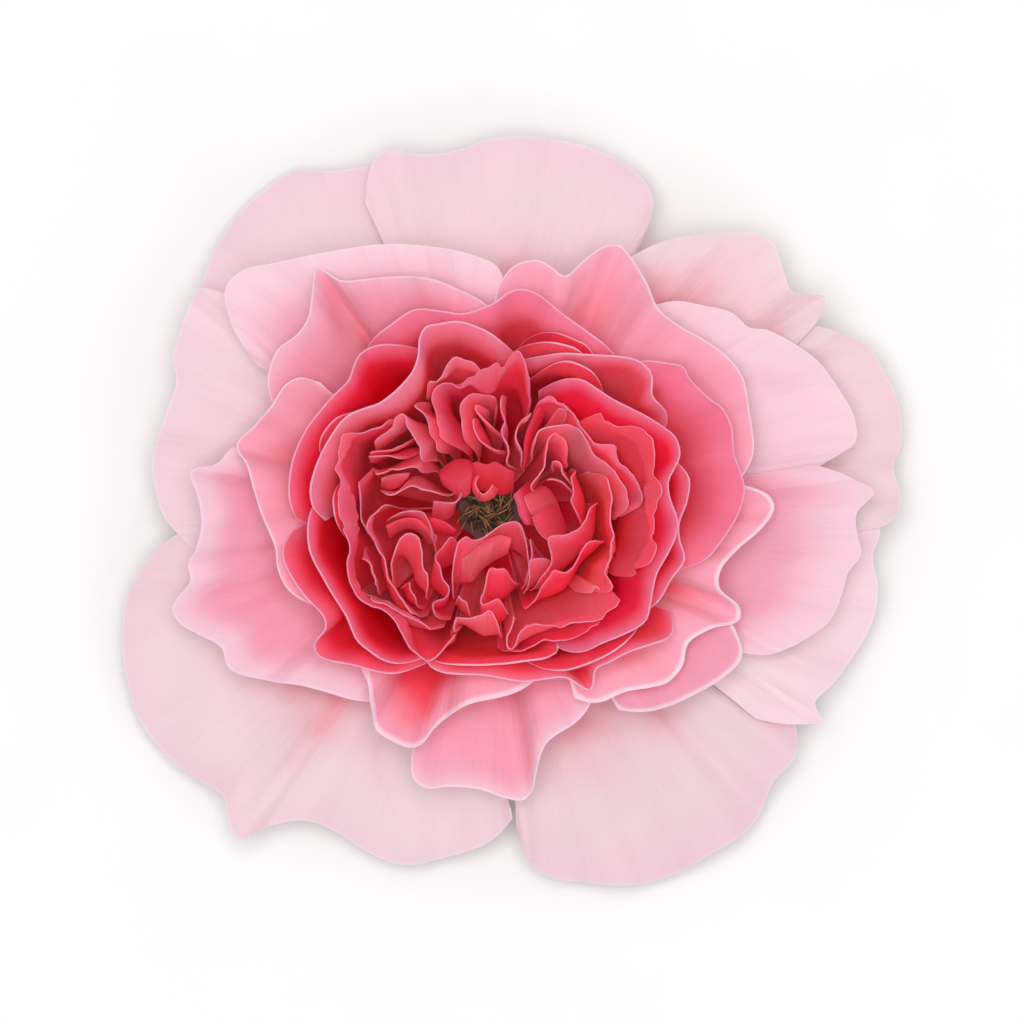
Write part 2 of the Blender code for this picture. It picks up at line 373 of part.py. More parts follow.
def refined(grid, times):
    """The facets of a grid sampled finely, with the four corner weights of each sample."""
    nu, nv = grid.shape[0] - 1, grid.shape[1] - 1
    a = np.linspace(0, 1, times + 1)
    s, t = (q.ravel() for q in np.meshgrid(a, a, indexing="ij"))
    lower = s + t <= 1
    w = np.where(lower, [1 - s - t, s, t, 0 * s], [0 * s, 1 - t, 1 - s, s + t - 1])
    i, j = (q.ravel() for q in np.meshgrid(np.arange(nu), np.arange(nv), indexing="ij"))
    corner = np.stack([i * (nv + 1) + j, (i + 1) * (nv + 1) + j, i * (nv + 1) + j + 1, (i + 1) * (nv + 1) + j + 1])
    index = np.repeat(corner[:, :, None], w.shape[1], axis=2).reshape(4, -1)
    weight = np.tile(w[:, None, :], (1, corner.shape[1], 1)).reshape(4, -1)
    return index, weight


def spherical(p):
    q = p - np.array([0, 0, FOCUS_Z])
    flat = np.hypot(q[:, 0], q[:, 1])
    return np.arctan2(q[:, 1], q[:, 0]), np.hypot(flat, q[:, 2]), np.arctan2(q[:, 2], flat)


def lift(p, by):
    """Swings points up around the focus, towards the axis, by an arc length."""
    az, reach, tilt = spherical(p)
    tilt = tilt + by / reach
    flat = reach * np.cos(tilt)
    return np.stack([flat * np.cos(az), flat * np.sin(az), FOCUS_Z + reach * np.sin(tilt)], 1)


def cells(p):
    az, reach, tilt = spherical(p)
    i = np.floor(az / (2 * math.pi) * AZ_CELLS).astype(int) % AZ_CELLS
    j = np.clip((reach / REACH_CELL).astype(int), 0, REACH_CELLS - 1)
    return i, j, reach, tilt


def settle(grid, pile, room):
    """Raises a petal just clear of everything already in the pile, then adds it to the pile."""
    shape = grid.shape
    p = grid.reshape(-1, 3)
    index, weight = refined(grid, 5)
    for _ in range(30):
        fine = (p[index] * weight[..., None]).sum(0)
        i, j, reach, tilt = cells(fine)
        short = (pile[i, j] - tilt) * reach + room
        short = np.where(pile[i, j] > -9, np.clip(short, 0, None), 0)
        if short.max() < 0.01:
            break
        need = np.zeros(len(p))
        for c in range(4):
            np.maximum.at(need, index[c], np.where(weight[c] > 0.15, short, 0))
        spread = need.reshape(shape[:2])
        pad = np.pad(spread, 1, mode="edge")
        soft = (pad[:-2, 1:-1] + pad[2:, 1:-1] + pad[1:-1, :-2] + pad[1:-1, 2:]) / 4
        p = lift(p, np.maximum(spread, 0.8 * soft).ravel())
    fine = (p[index] * weight[..., None]).sum(0)
    i, j, _, tilt = cells(fine)
    for di in (-1, 0, 1):
        for dj in (-1, 0, 1):
            np.maximum.at(pile, ((i + di) % AZ_CELLS, np.clip(j + dj, 0, REACH_CELLS - 1)), tilt)
    return p.reshape(shape)


def reach_map(grids, start, pick):
    """Smallest or largest plan radius of some sheets, by azimuth and level."""
    found = np.full((LIMIT_AZ, LIMIT_Z), start)
    for grid in grids:
        index, weight = refined(grid, 12)
        p = (grid.reshape(-1, 3)[index] * weight[..., None]).sum(0)
        p = p[p[:, 2] > FOOT_Z]
        i = np.floor(np.arctan2(p[:, 1], p[:, 0]) / (2 * math.pi) * LIMIT_AZ).astype(int) % LIMIT_AZ
        j = np.clip(((p[:, 2] - FOOT_Z) / LIMIT_STEP).astype(int), 0, LIMIT_Z - 1)
        pick.at(found, (i, j), np.hypot(p[:, 0], p[:, 1]))
    return found


def smooth_map(found, pick):
    """Takes each cell's neighbours in azimuth into account, then rounds the map off."""
    found = pick.reduce([np.roll(found, 1, 0), found, np.roll(found, -1, 0)])
    for _ in range(2):
        wide = np.pad(found, ((0, 0), (1, 1)), mode="edge")
        found = (np.roll(found, 1, 0) + np.roll(found, -1, 0) + 2 * found + wide[:, 2:] + wide[:, :-2]) / 6
    return found


def read_map(found, p):
    a = (np.arctan2(p[:, 1], p[:, 0]) / (2 * math.pi) * LIMIT_AZ - 0.5) % LIMIT_AZ
    b = np.clip((p[:, 2] - FOOT_Z) / LIMIT_STEP - 0.5, 0, LIMIT_Z - 1.001)
    i, j = a.astype(int), b.astype(int)
    a, b = a - i, b - j
    i %= LIMIT_AZ
    k = (i + 1) % LIMIT_AZ
    low = found[i, j] * (1 - a) + found[k, j] * a
    high = found[i, j + 1] * (1 - a) + found[k, j + 1] * a
    return low * (1 - b) + high * b


def fitted_inside(outer, inner, kept):
    """Draws the inner sheets in until they fit inside the outer ones; what lies near the axis stays."""
    room = smooth_map(reach_map(outer, 40.0, np.minimum) - LIMIT_ROOM, np.minimum)
    reach = smooth_map(np.maximum(reach_map(inner.values(), 1.0, np.maximum), room), np.maximum)
    moved = {}
    for name, grid in inner.items():
        p = grid.reshape(-1, 3).copy()
        r = np.hypot(p[:, 0], p[:, 1])
        limit, most = read_map(room, p), read_map(reach, p)
        still = kept * limit
        drawn = np.where(r > still, still + (r - still) * (limit - still) / np.maximum(most - still, 0.1), r)
        drawn = np.where(drawn > limit, limit + 0.2 * (drawn - limit), drawn)
        p[:, :2] *= (np.minimum(drawn, r) / np.maximum(r, 0.01))[:, None]
        moved[name] = p.reshape(grid.shape)
    return moved


def tree_of(grid):
    nu, nv = grid.shape[0] - 1, grid.shape[1] - 1
    q = lambda i, j: i * (nv + 1) + j
    tris = []
    for i in range(nu):
        for j in range(nv):
            tris += [(q(i, j), q(i + 1, j), q(i, j + 1)), (q(i + 1, j), q(i + 1, j + 1), q(i, j + 1))]
    return BVHTree.FromPolygons([Vector(c) for c in grid.reshape(-1, 3)], tris)


def ease_apart(sheets, room, rounds):
    """Pushes neighbouring mid-surfaces away from each other until they are room apart."""
    names = list(sheets)
    plans = {n: refined(sheets[n], 3) for n in names}
    for _ in range(rounds):
        trees = {n: tree_of(sheets[n]) for n in names}
        box = {n: (sheets[n].reshape(-1, 3).min(0), sheets[n].reshape(-1, 3).max(0)) for n in names}
        moves = {n: np.zeros((sheets[n].shape[0] * sheets[n].shape[1], 3)) for n in names}
        sums = {n: np.zeros(sheets[n].shape[0] * sheets[n].shape[1]) for n in names}
        worst = 0.0
        for n in names:
            index, weight = plans[n]
            p = sheets[n].reshape(-1, 3)
            fine = (p[index] * weight[..., None]).sum(0)
            for m in names:
                if m == n or (box[n][0] > box[m][1] + room).any() or (box[m][0] > box[n][1] + room).any():
                    continue
                near = ((fine > box[m][0] - room) & (fine < box[m][1] + room)).all(1)
                for k in np.nonzero(near)[0]:
                    spot, _, _, away = trees[m].find_nearest(Vector(fine[k]), room)
                    if spot is None or away < 1e-6:
                        continue
                    worst = max(worst, room - away)
                    push = (fine[k] - np.array(spot)) * ((room - away) / away * 0.55)
                    for c in range(4):
                        moves[n][index[c, k]] += push * weight[c, k]
                        sums[n][index[c, k]] += weight[c, k]
        for n in names:
            step = moves[n] / np.maximum(sums[n], 0.6)[:, None]
            sheets[n] = sheets[n] + step.reshape(sheets[n].shape)
        if worst < 0.02:
            break


def normals_of(grid):
    du = np.gradient(grid, axis=0)
    dv = np.gradient(grid, axis=1)
    n = np.cross(du, dv)
    return n / np.maximum(np.linalg.norm(n, axis=-1, keepdims=True), 1e-9)


def shell_object(name, grid, claw_thick, rim_thick):
    """A closed thin solid with the grid as its mid-surface."""
    nu, nv = grid.shape[0], grid.shape[1]
    half = (np.linspace(claw_thick, rim_thick, nv) / 2)[None, :, None] * normals_of(grid)
    points = np.concatenate([(grid + half).reshape(-1, 3), (grid - half).reshape(-1, 3)])
    points[:, :2] += AXIS_SHIFT
    under = nu * nv
    q = lambda i, j: i * nv + j
    faces = []
    for i in range(nu - 1):
        for j in range(nv - 1):
            a, b, c, d = q(i, j), q(i + 1, j), q(i, j + 1), q(i + 1, j + 1)
            faces += [(a, b, c), (b, d, c), (a + under, c + under, b + under), (b + under, c + under, d + under)]
    edge = [q(i, 0) for i in range(nu)] + [q(nu - 1, j) for j in range(1, nv)]
    edge += [q(i, nv - 1) for i in range(nu - 2, -1, -1)] + [q(0, j) for j in range(nv - 2, 0, -1)]
    for a, b in zip(edge, edge[1:] + edge[:1]):
        faces += [(a, a + under, b), (a + under, b + under, b)]
    return mesh_object(name, points, faces)


def mesh_object(name, points, faces):
    mesh = bpy.data.meshes.new(name)
    mesh.from_pydata((np.asarray(points) * MM).tolist(), [], faces)
    mesh.update()
    obj = bpy.data.objects.new(name, mesh)
    bpy.context.scene.collection.objects.link(obj)
    return obj


def lathe_object(name, profile, steps):
    """A closed turned solid: the profile runs from the axis at the bottom to the axis at the top."""
    points = [(0, 0, profile[0][1])]
    for r, z in profile[1:-1]:
        for k in range(steps):
            a = 2 * math.pi * k / steps
            points.append((r * math.cos(a), r * math.sin(a), z))
    points.append((0, 0, profile[-1][1]))
    rows = len(profile) - 2
    q = lambda i, k: 1 + i * steps + k % steps
    faces = [(0, q(0, k + 1), q(0, k)) for k in range(steps)]
    for i in range(rows - 1):
        for k in range(steps):
            faces += [(q(i, k), q(i, k + 1), q(i + 1, k + 1)), (q(i, k), q(i + 1, k + 1), q(i + 1, k))]
    faces += [(len(points) - 1, q(rows - 1, k), q(rows - 1, k + 1)) for k in range(steps)]
    points = np.array(points, float)
    points[:, :2] += AXIS_SHIFT
    return mesh_object(name, points, faces)


def paint(obj, colour):
    material = bpy.data.materials.new(obj.name)
    material.use_nodes = True
    material.node_tree.nodes["Principled BSDF"].inputs["Base Color"].default_value = (*colour, 1)
    material.node_tree.nodes["Principled BSDF"].inputs["Roughness"].default_value = 0.6
    obj.data.materials.append(material)


def sepal(azimuth, reach):
    """A leafy sepal folded back from the foot of the hip until its tip rests on the ground."""
    a = math.radians(azimuth)
    along = np.array([math.cos(a), math.sin(a), 0])
    side = np.array([-math.sin(a), math.cos(a), 0])
    path = [(4.6, 10.2, 3.0), (8.5, 10.0, 3.4), (12.5, 8.2, 2.9), (16.5, 5.2, 2.2), (reach - 3.4, 2.2, 1.3), (reach, 0.3, 0.6)]
    rows = []
    for r, z, half in path:
        rows.append([along * r + side * half * s + np.array([0, 0, z + 0.35 * (1 - s * s)]) for s in (-1, 0, 1)])
    return np.array(rows)


def build():
    for obj in list(bpy.data.objects):
        bpy.data.objects.remove(obj, do_unlink=True)
    sheets = {}
    pile = np.full((AZ_CELLS, REACH_CELLS), -10.0)
    for name, row in PETALS.items():
        grid = petal_sheet(row, facets_for([polar(*k) for k in row[5]]), ACROSS)
        sheets[name] = settle(grid, pile, PETAL_THICK + GAP)
    folds = {name: fold_sheet(knots, facets_for(knots), FOLD_ACROSS) for name, knots in FOLDS.items()}
    walls = {name: grid for name, grid in folds.items() if name.startswith("wall") and name != "wall_inner_right"}
    sheets.update(fitted_inside(sheets.values(), walls, KEPT))
    folds = {name: grid for name, grid in folds.items() if name not in walls}
    sheets.update(fitted_inside(sheets.values(), folds, KEPT))
    ease_apart(sheets, PETAL_THICK + 0.16, 25)
    for name, grid in sheets.items():
        depth = {"g": 0.86, "m": 0.62}.get(name[0], 0.3) if name in PETALS else 0.18
        paint(shell_object(name, grid, CLAW_THICK, PETAL_THICK), (0.9, depth * 0.8, depth * 0.85))

    hip = lathe_object("calyx_hip_and_stem", [
        (0, 0.4), (2.6, 0.4), (2.7, 3.6), (3.6, 4.6), (5.4, 6.2), (6.4, 8.4), (6.6, 10.4), (7.4, 12.0),
        (7.7, 14.0), (7.2, 16.2), (4.6, 17.4), (0, 17.6)], 20)
    for k, (azimuth, reach) in enumerate(zip(SEPAL_AZIMUTH, SEPAL_REACH)):
        blade = shell_object(f"blade_{k}", sepal(azimuth, reach), 1.1, 1.1)
        for vertex in blade.data.vertices:
            vertex.co.z = max(vertex.co.z, 0.0)
        cut = hip.modifiers.new(f"sepal {k}", "BOOLEAN")
        cut.operation, cut.solver, cut.object = "UNION", "EXACT", blade
        blade.hide_render = True
        blade.hide_viewport = True
    paint(hip, (0.16, 0.28, 0.08))
    stamens = lathe_object("stamens_and_styles", [
        (0, 17.9), (3.0, 17.9), (3.5, 20.0), (3.6, 23.5), (2.6, 26.2), (0, 27.0)], 14)
    paint(stamens, (0.45, 0.36, 0.16))


build()
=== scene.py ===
"""Looks of a full-blown quartered garden rose lying face up on a pale table.

Every petal is a grid shaped to its own rim and kept off its neighbours, given a thickness and painted from
pale margin to coral or crimson depth; that depth colour is partly painted shade. Lengths in the tables are
millimetres from the flower's own axis.
"""

import math

import bpy
import numpy as np
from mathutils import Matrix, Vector
from mathutils.bvhtree import BVHTree


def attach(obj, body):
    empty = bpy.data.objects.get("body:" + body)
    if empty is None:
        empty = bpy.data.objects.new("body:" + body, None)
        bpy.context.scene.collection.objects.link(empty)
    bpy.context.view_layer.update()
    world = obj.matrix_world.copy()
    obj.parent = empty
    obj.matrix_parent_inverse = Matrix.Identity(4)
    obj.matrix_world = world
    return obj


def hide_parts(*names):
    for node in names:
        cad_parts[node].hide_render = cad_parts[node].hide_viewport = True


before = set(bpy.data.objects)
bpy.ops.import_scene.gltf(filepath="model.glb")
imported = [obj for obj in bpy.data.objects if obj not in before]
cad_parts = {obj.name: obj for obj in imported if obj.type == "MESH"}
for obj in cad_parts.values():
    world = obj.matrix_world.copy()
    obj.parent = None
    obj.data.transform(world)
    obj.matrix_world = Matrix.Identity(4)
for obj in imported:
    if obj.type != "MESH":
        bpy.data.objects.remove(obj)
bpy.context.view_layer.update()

MM = 0.001
AXIS_SHIFT = (-3.26, 0.23)  # where the flower's own axis stands, from the middle of the box

# ---- the build of the flower

PETAL_THICK, FOLD_THICK = 0.26, 0.2
GAP = 0.12  # least room between two petals of the outer rings
HEART_GAP = 0.1  # room aimed at between two petals of the heart
CLAW_HALF_WIDTH = 2.5
CLAW = {0: (9.0, 11.5), 1: (8.8, 13.2), 2: (8.4, 15.0)}  # ring: radius and height of the claws
CURVE_PULL = 0.38  # how firmly a petal keeps its first and last direction, as a share of its length
FLARE_FROM, FLARE_OVER = 0.7, 0.3  # where along a petal its rim starts to flare, and over what share
SHOULDER_MOST = 0.45  # share of the rim that a shoulder may take up at each end
SWELL = {0: (1.0, 15.0), 1: (0.8, 12.0), 2: (0.45, 8.0)}  # ring: height and length of the waves in a rim
SWELL_END, SWELL_DEPTH = 6.0, 9.0  # how far in from a free end, and from the rim, the waves fade out
LIP_OUT, LIP_DROP, LIP_WIDE = 1.3, 0.9, 3.2  # how a rim rolls outwards and over
OUTER_ROLL = 0.6  # share of that roll that the two outer rings take
SHEET_ALONG = {"ring": (0.9, 24, 96), "heart": (0.5, 12, 90)}  # mesh: length of a piece, fewest, most
SHEET_ACROSS = {"ring": 34, "heart": 24}

# how far a free end sinks, and over what length
END_DIP = {0: (0.0, 5.0), 1: (1.0, 5.0), 2: (1.5, 5.0), "rim": (3.0, 9.0), "heart": (4.5, 3.2)}
# share of a petal's length that is cut off at its corners, and how far along the rim
SHOULDER = {
    0: (0.03, 5.0), 1: (0.03, 5.0), 2: (0.1, 5.0), "rim": (0.4, 12.0), "cup_upper_right": (0.3, 9.0),
    "cup_right_main": (0.2, 8.0),
}

# ---- the build of the heart

TIP_Z, FOOT_Z = 42.0, 18.5
FOLD_FOOT_Z, FOLD_LEAST = 19.6, 7.0  # lowest foot of a fold, and the least height that a fold has
DISH_Z, HEART_Z = 34.8, 41.0  # level of the heart's surface at the opening and at the wall
DISH_FROM, DISH_WIDE = 2.0, 18.0  # where that surface starts to rise, and over what length
DRAW_IN, DRAW_POWER = 0.66, 2.6  # how far, and how late, folds draw in towards their foot
LEAN_DEPTH = 7.0  # how far below the surface a fold has taken up its whole lean
LEAN_SPREAD = 12.0  # square of how far one mark of lean is felt
FLUTTER, FLUTTER_LONG, FLUTTER_DEPTH = 0.26, 7.0, 3.0  # sideways waves of a fold near its rim
CREST, CREST_LONG = 0.5, 8.0  # waves of a fold's rim up and down
FOLD_END = 1.5  # how far in from a fold's free end its waves fade out
FOLD_LIP_OUT, FOLD_LIP_WIDE = 0.5, 1.6
STAMEN_CLEAR = 4.3  # radius of the opening that folds stay out of
LOBE_SIDE = 0.6  # how far the sides of a lobe curl down
LOBE_CRUMPLE, LOBE_CRUMPLE_LONG = 0.3, 5.0
LOBE_MESH = (32, 18)  # pieces along and across

# ---- how petals are kept apart

FOCUS_Z = 8.0  # height on the axis that petals swing up around when they settle
AZ_CELLS, REACH_CELL, REACH_CELLS = 480, 0.4, 210
EMPTY = -10.0
LIMIT_AZ, LIMIT_Z, LIMIT_STEP, LIMIT_ROOM = 72, 50, 0.5, 0.5
KEPT_INSIDE = 0.6  # share of the room round the axis in which folds aren't drawn in
OVERHANG_KEPT = 0.2  # share kept of what still stands out past the room
SETTLE_ROUNDS, SETTLE_DONE, SETTLE_SOFTEN = 30, 0.02, 6
EASE_ROUNDS, EASE_STEP, EASE_DONE = 9, 0.6, 0.05

# ---- painting and light

RELIEF_DEPTH = 0.2 * MM
TONE_STEP = 0.618  # each petal's tone differs from the last one's by this, round a scale from 0 to 1
EDGE_HIDDEN = 5.0  # added to the edge distance of a face, which shows no pale edge
# the heart light stands on the flower's axis and reaches as far as the wall of the heart
HEART_LIGHT_POWER, HEART_LIGHT_HEIGHT, HEART_LIGHT_REACH = 17.0, 1.1, 0.023
HEART_LIGHT_SOFT, HEART_LIGHT_BLEND = 0.02, 0.8
ROOM_LIGHT, ROOM_SEEN = 0.5, 1.0  # strength of the room as it lights the flower, and as it is seen
# name, place, size and power of each lamp
LAMPS = (("softbox", (-0.03, 0.04, 1.0), 0.45, 5.3), ("fill", (0.5, -0.5, 0.8), 0.6, 0.7))
LAMP_AIM = Vector((0, 0, 0.02))
TABLE_SIZE = 3.0
CAMERA_DISTANCE, CAMERA_AIM_Z, CAMERA_WIDE, SENSOR = 0.9, 0.026, 0.1485, 36

# ---- tables of petals

# petals of the three outer rings: ring, azimuth of the claw, slope at the claw and at the rim, how far the
# rim flares, then rim knots (azimuth, radius, height)
PETALS = {
    "guard_bottom_right": (0, 300, 12, -20, 0, [
        (329, 49, 12), (324.5, 55.5, 10), (321, 57.8, 11), (316, 58, 9), (312, 60, 7), (308.5, 60.7, 9),
        (303, 60.4, 8), (296, 60.4, 6), (290, 59, 7), (285, 57, 8), (279.5, 55, 8), (276.5, 52.3, 10),
        (274.8, 47.5, 12)]),
    "guard_top_left": (0, 122, 12, -20, 0, [
        (149, 49, 13), (144, 53, 11), (138, 55.5, 9), (131, 57.5, 7), (125, 58, 6), (120, 58, 7),
        (115, 55.3, 9), (110, 54, 9), (104, 53, 10), (99, 50, 12)]),
    "guard_bottom_left": (0, 226, 12, -20, 0, [
        (184, 47, 13), (188.5, 51.2, 11), (194, 55.4, 9), (199.5, 57.6, 8), (205.5, 59.3, 8),
        (211, 60.5, 7), (217, 60, 7), (222, 59, 8), (227, 57.6, 10), (229.5, 59.3, 11), (232.5, 61, 12),
        (235, 56.8, 12), (239.3, 53.1, 11), (244.3, 52.6, 10), (250, 53.6, 8), (256, 54, 7), (262, 52, 8),
        (268, 49.8, 9), (274.3, 46.9, 11)]),
    "guard_lower_right": (0, 340, 14, -16, 0, [
        (0.5, 53, 15), (357.5, 57.3, 14), (353, 56.8, 12), (349, 58.2, 11), (344, 58.8, 10),
        (338, 57.8, 10), (333, 56.5, 12), (329.5, 55.5, 13), (327.5, 58, 12), (325.5, 55.5, 13),
        (322, 51, 14)]),
    "guard_top": (0, 88, 15, -16, 0, [
        (112, 50, 15), (108.5, 54, 14), (106, 55, 14), (101, 53.3, 13), (95, 53.2, 13), (89, 54.8, 12),
        (80, 55.6, 11), (72, 55.3, 10), (66, 54.2, 10), (62, 51.5, 11), (60.5, 46, 13)]),
    "guard_right": (0, 14, 16, -14, 0, [
        (32, 53, 15), (27, 57.5, 14), (24, 60.5, 12), (20, 61.5, 11), (14, 62.3, 10), (9, 61.5, 10),
        (6, 59.8, 11), (2.5, 60.5, 11), (359.5, 60, 12), (357.7, 58, 13), (356.5, 52, 15)]),
    "guard_left": (0, 163, 18, -12, 0, [
        (140, 49, 20), (142.5, 53.4, 19), (145, 53.4, 17), (150.5, 52.4, 15), (154, 51.8, 14),
        (157.5, 49.8, 15), (162, 49.6, 14), (166.5, 49.8, 13), (171.5, 50.3, 12), (176.5, 49.3, 12),
        (181, 48, 13), (185, 45.5, 14), (190, 42.5, 16)]),
    "guard_upper_right": (0, 44, 18, -12, 0, [
        (61, 43.5, 18), (55, 48.8, 17), (50, 53.3, 16), (47, 55.8, 15), (43.5, 57.2, 14), (40, 56, 14),
        (36, 54.8, 15), (34, 56.5, 17), (32.5, 58.3, 18), (30.5, 56, 17), (28, 51, 18)]),
    "mid_upper_right": (1, 28, 22, 0, 0, [
        (54, 36.5, 24), (48, 41, 23), (43.3, 43.4, 22), (39.3, 45.5, 22), (35.3, 46.2, 23),
        (33, 48.3, 22), (29, 50.5, 21), (24, 52.8, 20), (18.3, 54.2, 19), (14.4, 55, 19),
        (10.6, 54.4, 20), (9, 51.5, 21), (7, 48, 22)]),
    "mid_right": (1, 345, 22, 0, 0, [
        (330, 42.3, 23), (333, 46.2, 21), (337, 49.2, 20), (342, 52.2, 20), (346.4, 52.8, 20),
        (350.3, 53.1, 20), (353.2, 54.5, 21), (356.3, 53.7, 22), (359.5, 53.4, 22), (2.8, 56, 23),
        (5, 53, 24), (8, 49, 24)]),
    "mid_lower_left": (1, 200, 24, 0, 0, [
        (166, 39.5, 27), (170.4, 40.3, 27), (172.4, 43.8, 26), (177, 42.5, 25), (182.4, 41.9, 24),
        (187.4, 43.1, 23), (190, 44.7, 22), (193.3, 44.8, 22), (196.9, 48.4, 21), (199.6, 48.3, 21),
        (203, 46.2, 22), (207, 43.9, 22), (211.2, 44.4, 22), (217.1, 41, 23), (223.7, 37, 25),
        (233.4, 34.2, 26), (239, 33.4, 26)]),
    "mid_upper_left": (1, 116, 26, 15, 0, [
        (148, 41, 24), (143.5, 47, 25), (140, 50, 26), (136, 50, 27), (131, 47.5, 28), (125, 45, 29),
        (118, 43, 29), (110, 41, 29), (100, 38.5, 30), (92, 36.5, 30), (88, 35.3, 30), (85.5, 33, 30)]),
    "mid_bottom_outer": (1, 272, 25, -5, 0, [
        (252, 34.5, 25), (252.5, 38, 24), (254, 40.5, 23), (257, 41.5, 22), (262.2, 40.6, 22),
        (268.3, 40.7, 22), (273, 42, 21), (276.4, 42.6, 21), (278.5, 41.5, 22), (280.2, 38.5, 24),
        (283.9, 34.7, 26), (292.3, 33.2, 27), (299.2, 32, 27)]),
    "mid_lower_right": (1, 318, 26, 0, 0, [
        (303, 35.5, 26), (306.8, 36.7, 26), (310.9, 38.1, 25), (317.2, 39.8, 25), (324.4, 41.7, 25),
        (329.8, 42.4, 26), (335, 40, 27)]),
    "mid_top_right": (1, 45, 28, 30, 2, [
        (89, 32, 31), (86, 34.5, 31), (83, 36, 31), (79, 36.8, 31), (75.5, 36.2, 31), (72.2, 35.5, 31),
        (69.3, 38.6, 30), (66.7, 41.5, 28), (64, 42.8, 27), (60.6, 41.9, 28), (55.5, 40, 30),
        (50.3, 38, 31), (44.2, 38.3, 30), (38.4, 39.7, 29), (32.2, 41.1, 28), (27.3, 41.4, 28),
        (20.5, 40.2, 28), (13, 39.3, 29), (7, 38, 30)]),
    "mid_top_left": (1, 120, 30, 40, 2, [
        (155, 35.5, 32), (150, 37, 31), (146.9, 37.8, 31), (142.8, 38.4, 31), (137.2, 37.6, 32),
        (133.1, 38.2, 32), (129.2, 40.4, 32), (125.5, 43, 31), (123, 39.5, 33), (119, 38, 33),
        (115.7, 37.2, 33), (108.8, 35.6, 34), (103, 33.9, 35), (96.1, 31.5, 35), (88, 29.6, 35)]),
    "mid_lower_right_inner": (1, 333, 30, 25, 2, [
        (294, 31, 31), (299.2, 32, 30), (307, 32.8, 30), (312, 34.5, 29), (316, 35.8, 29),
        (321, 35.9, 29), (326.3, 34.6, 30), (332, 36.4, 29), (336.2, 39.6, 27), (338.7, 38.9, 28),
        (341.2, 35.1, 30), (345.6, 34.5, 31), (351.2, 36.4, 30), (356, 39.3, 29), (0.5, 41.3, 28),
        (3, 40.5, 29), (6.5, 37, 31)]),
    "mid_left": (1, 172, 30, 40, 2, [
        (142.8, 31.7, 34), (145, 33.7, 33), (149, 34.6, 33), (154.6, 34.8, 33), (160, 36, 32),
        (165.5, 37.7, 31), (169.3, 35.5, 33), (174.6, 34.1, 34), (180, 33, 34), (186, 31.7, 35),
        (190, 31.2, 35), (195, 31.6, 34), (200.8, 31.3, 34), (208, 30.2, 34)]),
    "mid_bottom": (1, 252, 30, 30, 2, [
        (231, 30.6, 33), (234.8, 30.8, 33), (239.2, 33.2, 31), (242.9, 35.8, 29), (247.3, 36.2, 29),
        (251.5, 36.2, 29), (254, 35, 30), (256.3, 32, 31), (263.1, 28.3, 33), (273.7, 26.9, 34),
        (286, 26.3, 35)]),
    "cup_top": (2, 88, 30, 86, 1.6, [
        (128, 30.5, 37), (119.6, 30, 38), (110.4, 30.7, 38), (104.7, 29.6, 38), (97.6, 28.4, 38),
        (92, 29, 38), (88.3, 29.8, 38), (84.5, 31.5, 37), (81.3, 32.1, 37), (77.6, 31.8, 37),
        (71.5, 30.4, 38), (63, 29.3, 38), (55.1, 29, 38), (48, 29.5, 37)]),
    "cup_right_outer": (2, 12, 30, 74, 2.8, [
        (50, 29, 37), (43, 31.5, 37), (39.1, 33.4, 36), (36.5, 34.7, 36), (33.5, 34.4, 36),
        (27.1, 35.4, 36), (23.4, 36.6, 35), (19.2, 36.8, 35), (12.8, 36.1, 36), (8.8, 36.5, 35),
        (4.9, 36.8, 35), (0, 36, 35), (355, 34.4, 36), (348.6, 32.4, 37), (341, 30, 37)]),
    "cup_lower_left": (2, 214, 30, 88, 1.6, [
        (184, 30.5, 36), (188.6, 30.9, 36), (195.5, 30.3, 37), (205, 29.1, 38), (212.9, 28.2, 38),
        (215.8, 28.9, 38), (217.5, 31.7, 36), (220.5, 32.2, 36), (228.4, 29.6, 37), (237.6, 27.6, 38),
        (247.9, 24.9, 39)]),
    "cup_bottom_outer": (2, 290, 30, 90, 1.0, [
        (245, 25.2, 38), (257, 24, 38), (267.5, 23.6, 38), (275, 24.2, 38), (281.5, 25, 38),
        (289, 25.5, 38), (294.5, 26.3, 38), (299.5, 29.6, 36), (304, 27.4, 37), (309, 27.8, 37),
        (314.5, 28.5, 37), (320, 30, 36), (325.6, 31.8, 35), (331, 31, 35)]),
    "cup_left_outer": (2, 152, 31, 90, 1.2, [
        (184, 28.3, 39), (175, 28.8, 39), (166.7, 29, 39), (156.8, 28.7, 39), (149, 28, 39),
        (143.6, 27.7, 39), (137, 27.4, 39), (133.5, 28.2, 39), (129.5, 29, 39), (124.5, 28.6, 39),
        (118.7, 27.1, 39), (112, 25.8, 39)]),
    "cup_right_back": (2, 350, 31, 90, 1.2, [
        (18, 27.6, 39), (13, 28.4, 39), (8.7, 29, 39), (2.4, 28.3, 39), (356, 27.2, 39), (351, 27.6, 39),
        (346, 28.8, 39), (339, 27.8, 39), (332, 27.6, 39), (325, 27.2, 39)]),
    "cup_upper_right": (2, 55, 31, 90, 1.2, [
        (84, 23.8, 40), (78, 23.4, 40), (72, 23.7, 40), (66, 24.6, 40), (60, 25.8, 40), (51.7, 28.2, 39),
        (45.6, 30.2, 38), (42, 30.6, 38), (39.4, 30.2, 38), (35.5, 28.6, 39), (33.2, 28.7, 39),
        (29, 29.8, 38), (26, 30, 38), (21, 29, 38)]),
    "cup_lower_left_inner": (2, 215, 31, 96, 1.0, [
        (176, 25.3, 40), (182.6, 25.9, 40), (191.8, 26.3, 40), (200.6, 25.7, 40), (208.9, 25.4, 40),
        (216.5, 25.4, 40), (221, 26, 40), (224.5, 26.5, 40), (230, 26.4, 40), (235.4, 26.2, 39),
        (241, 25.6, 39), (246.5, 24.7, 39)]),
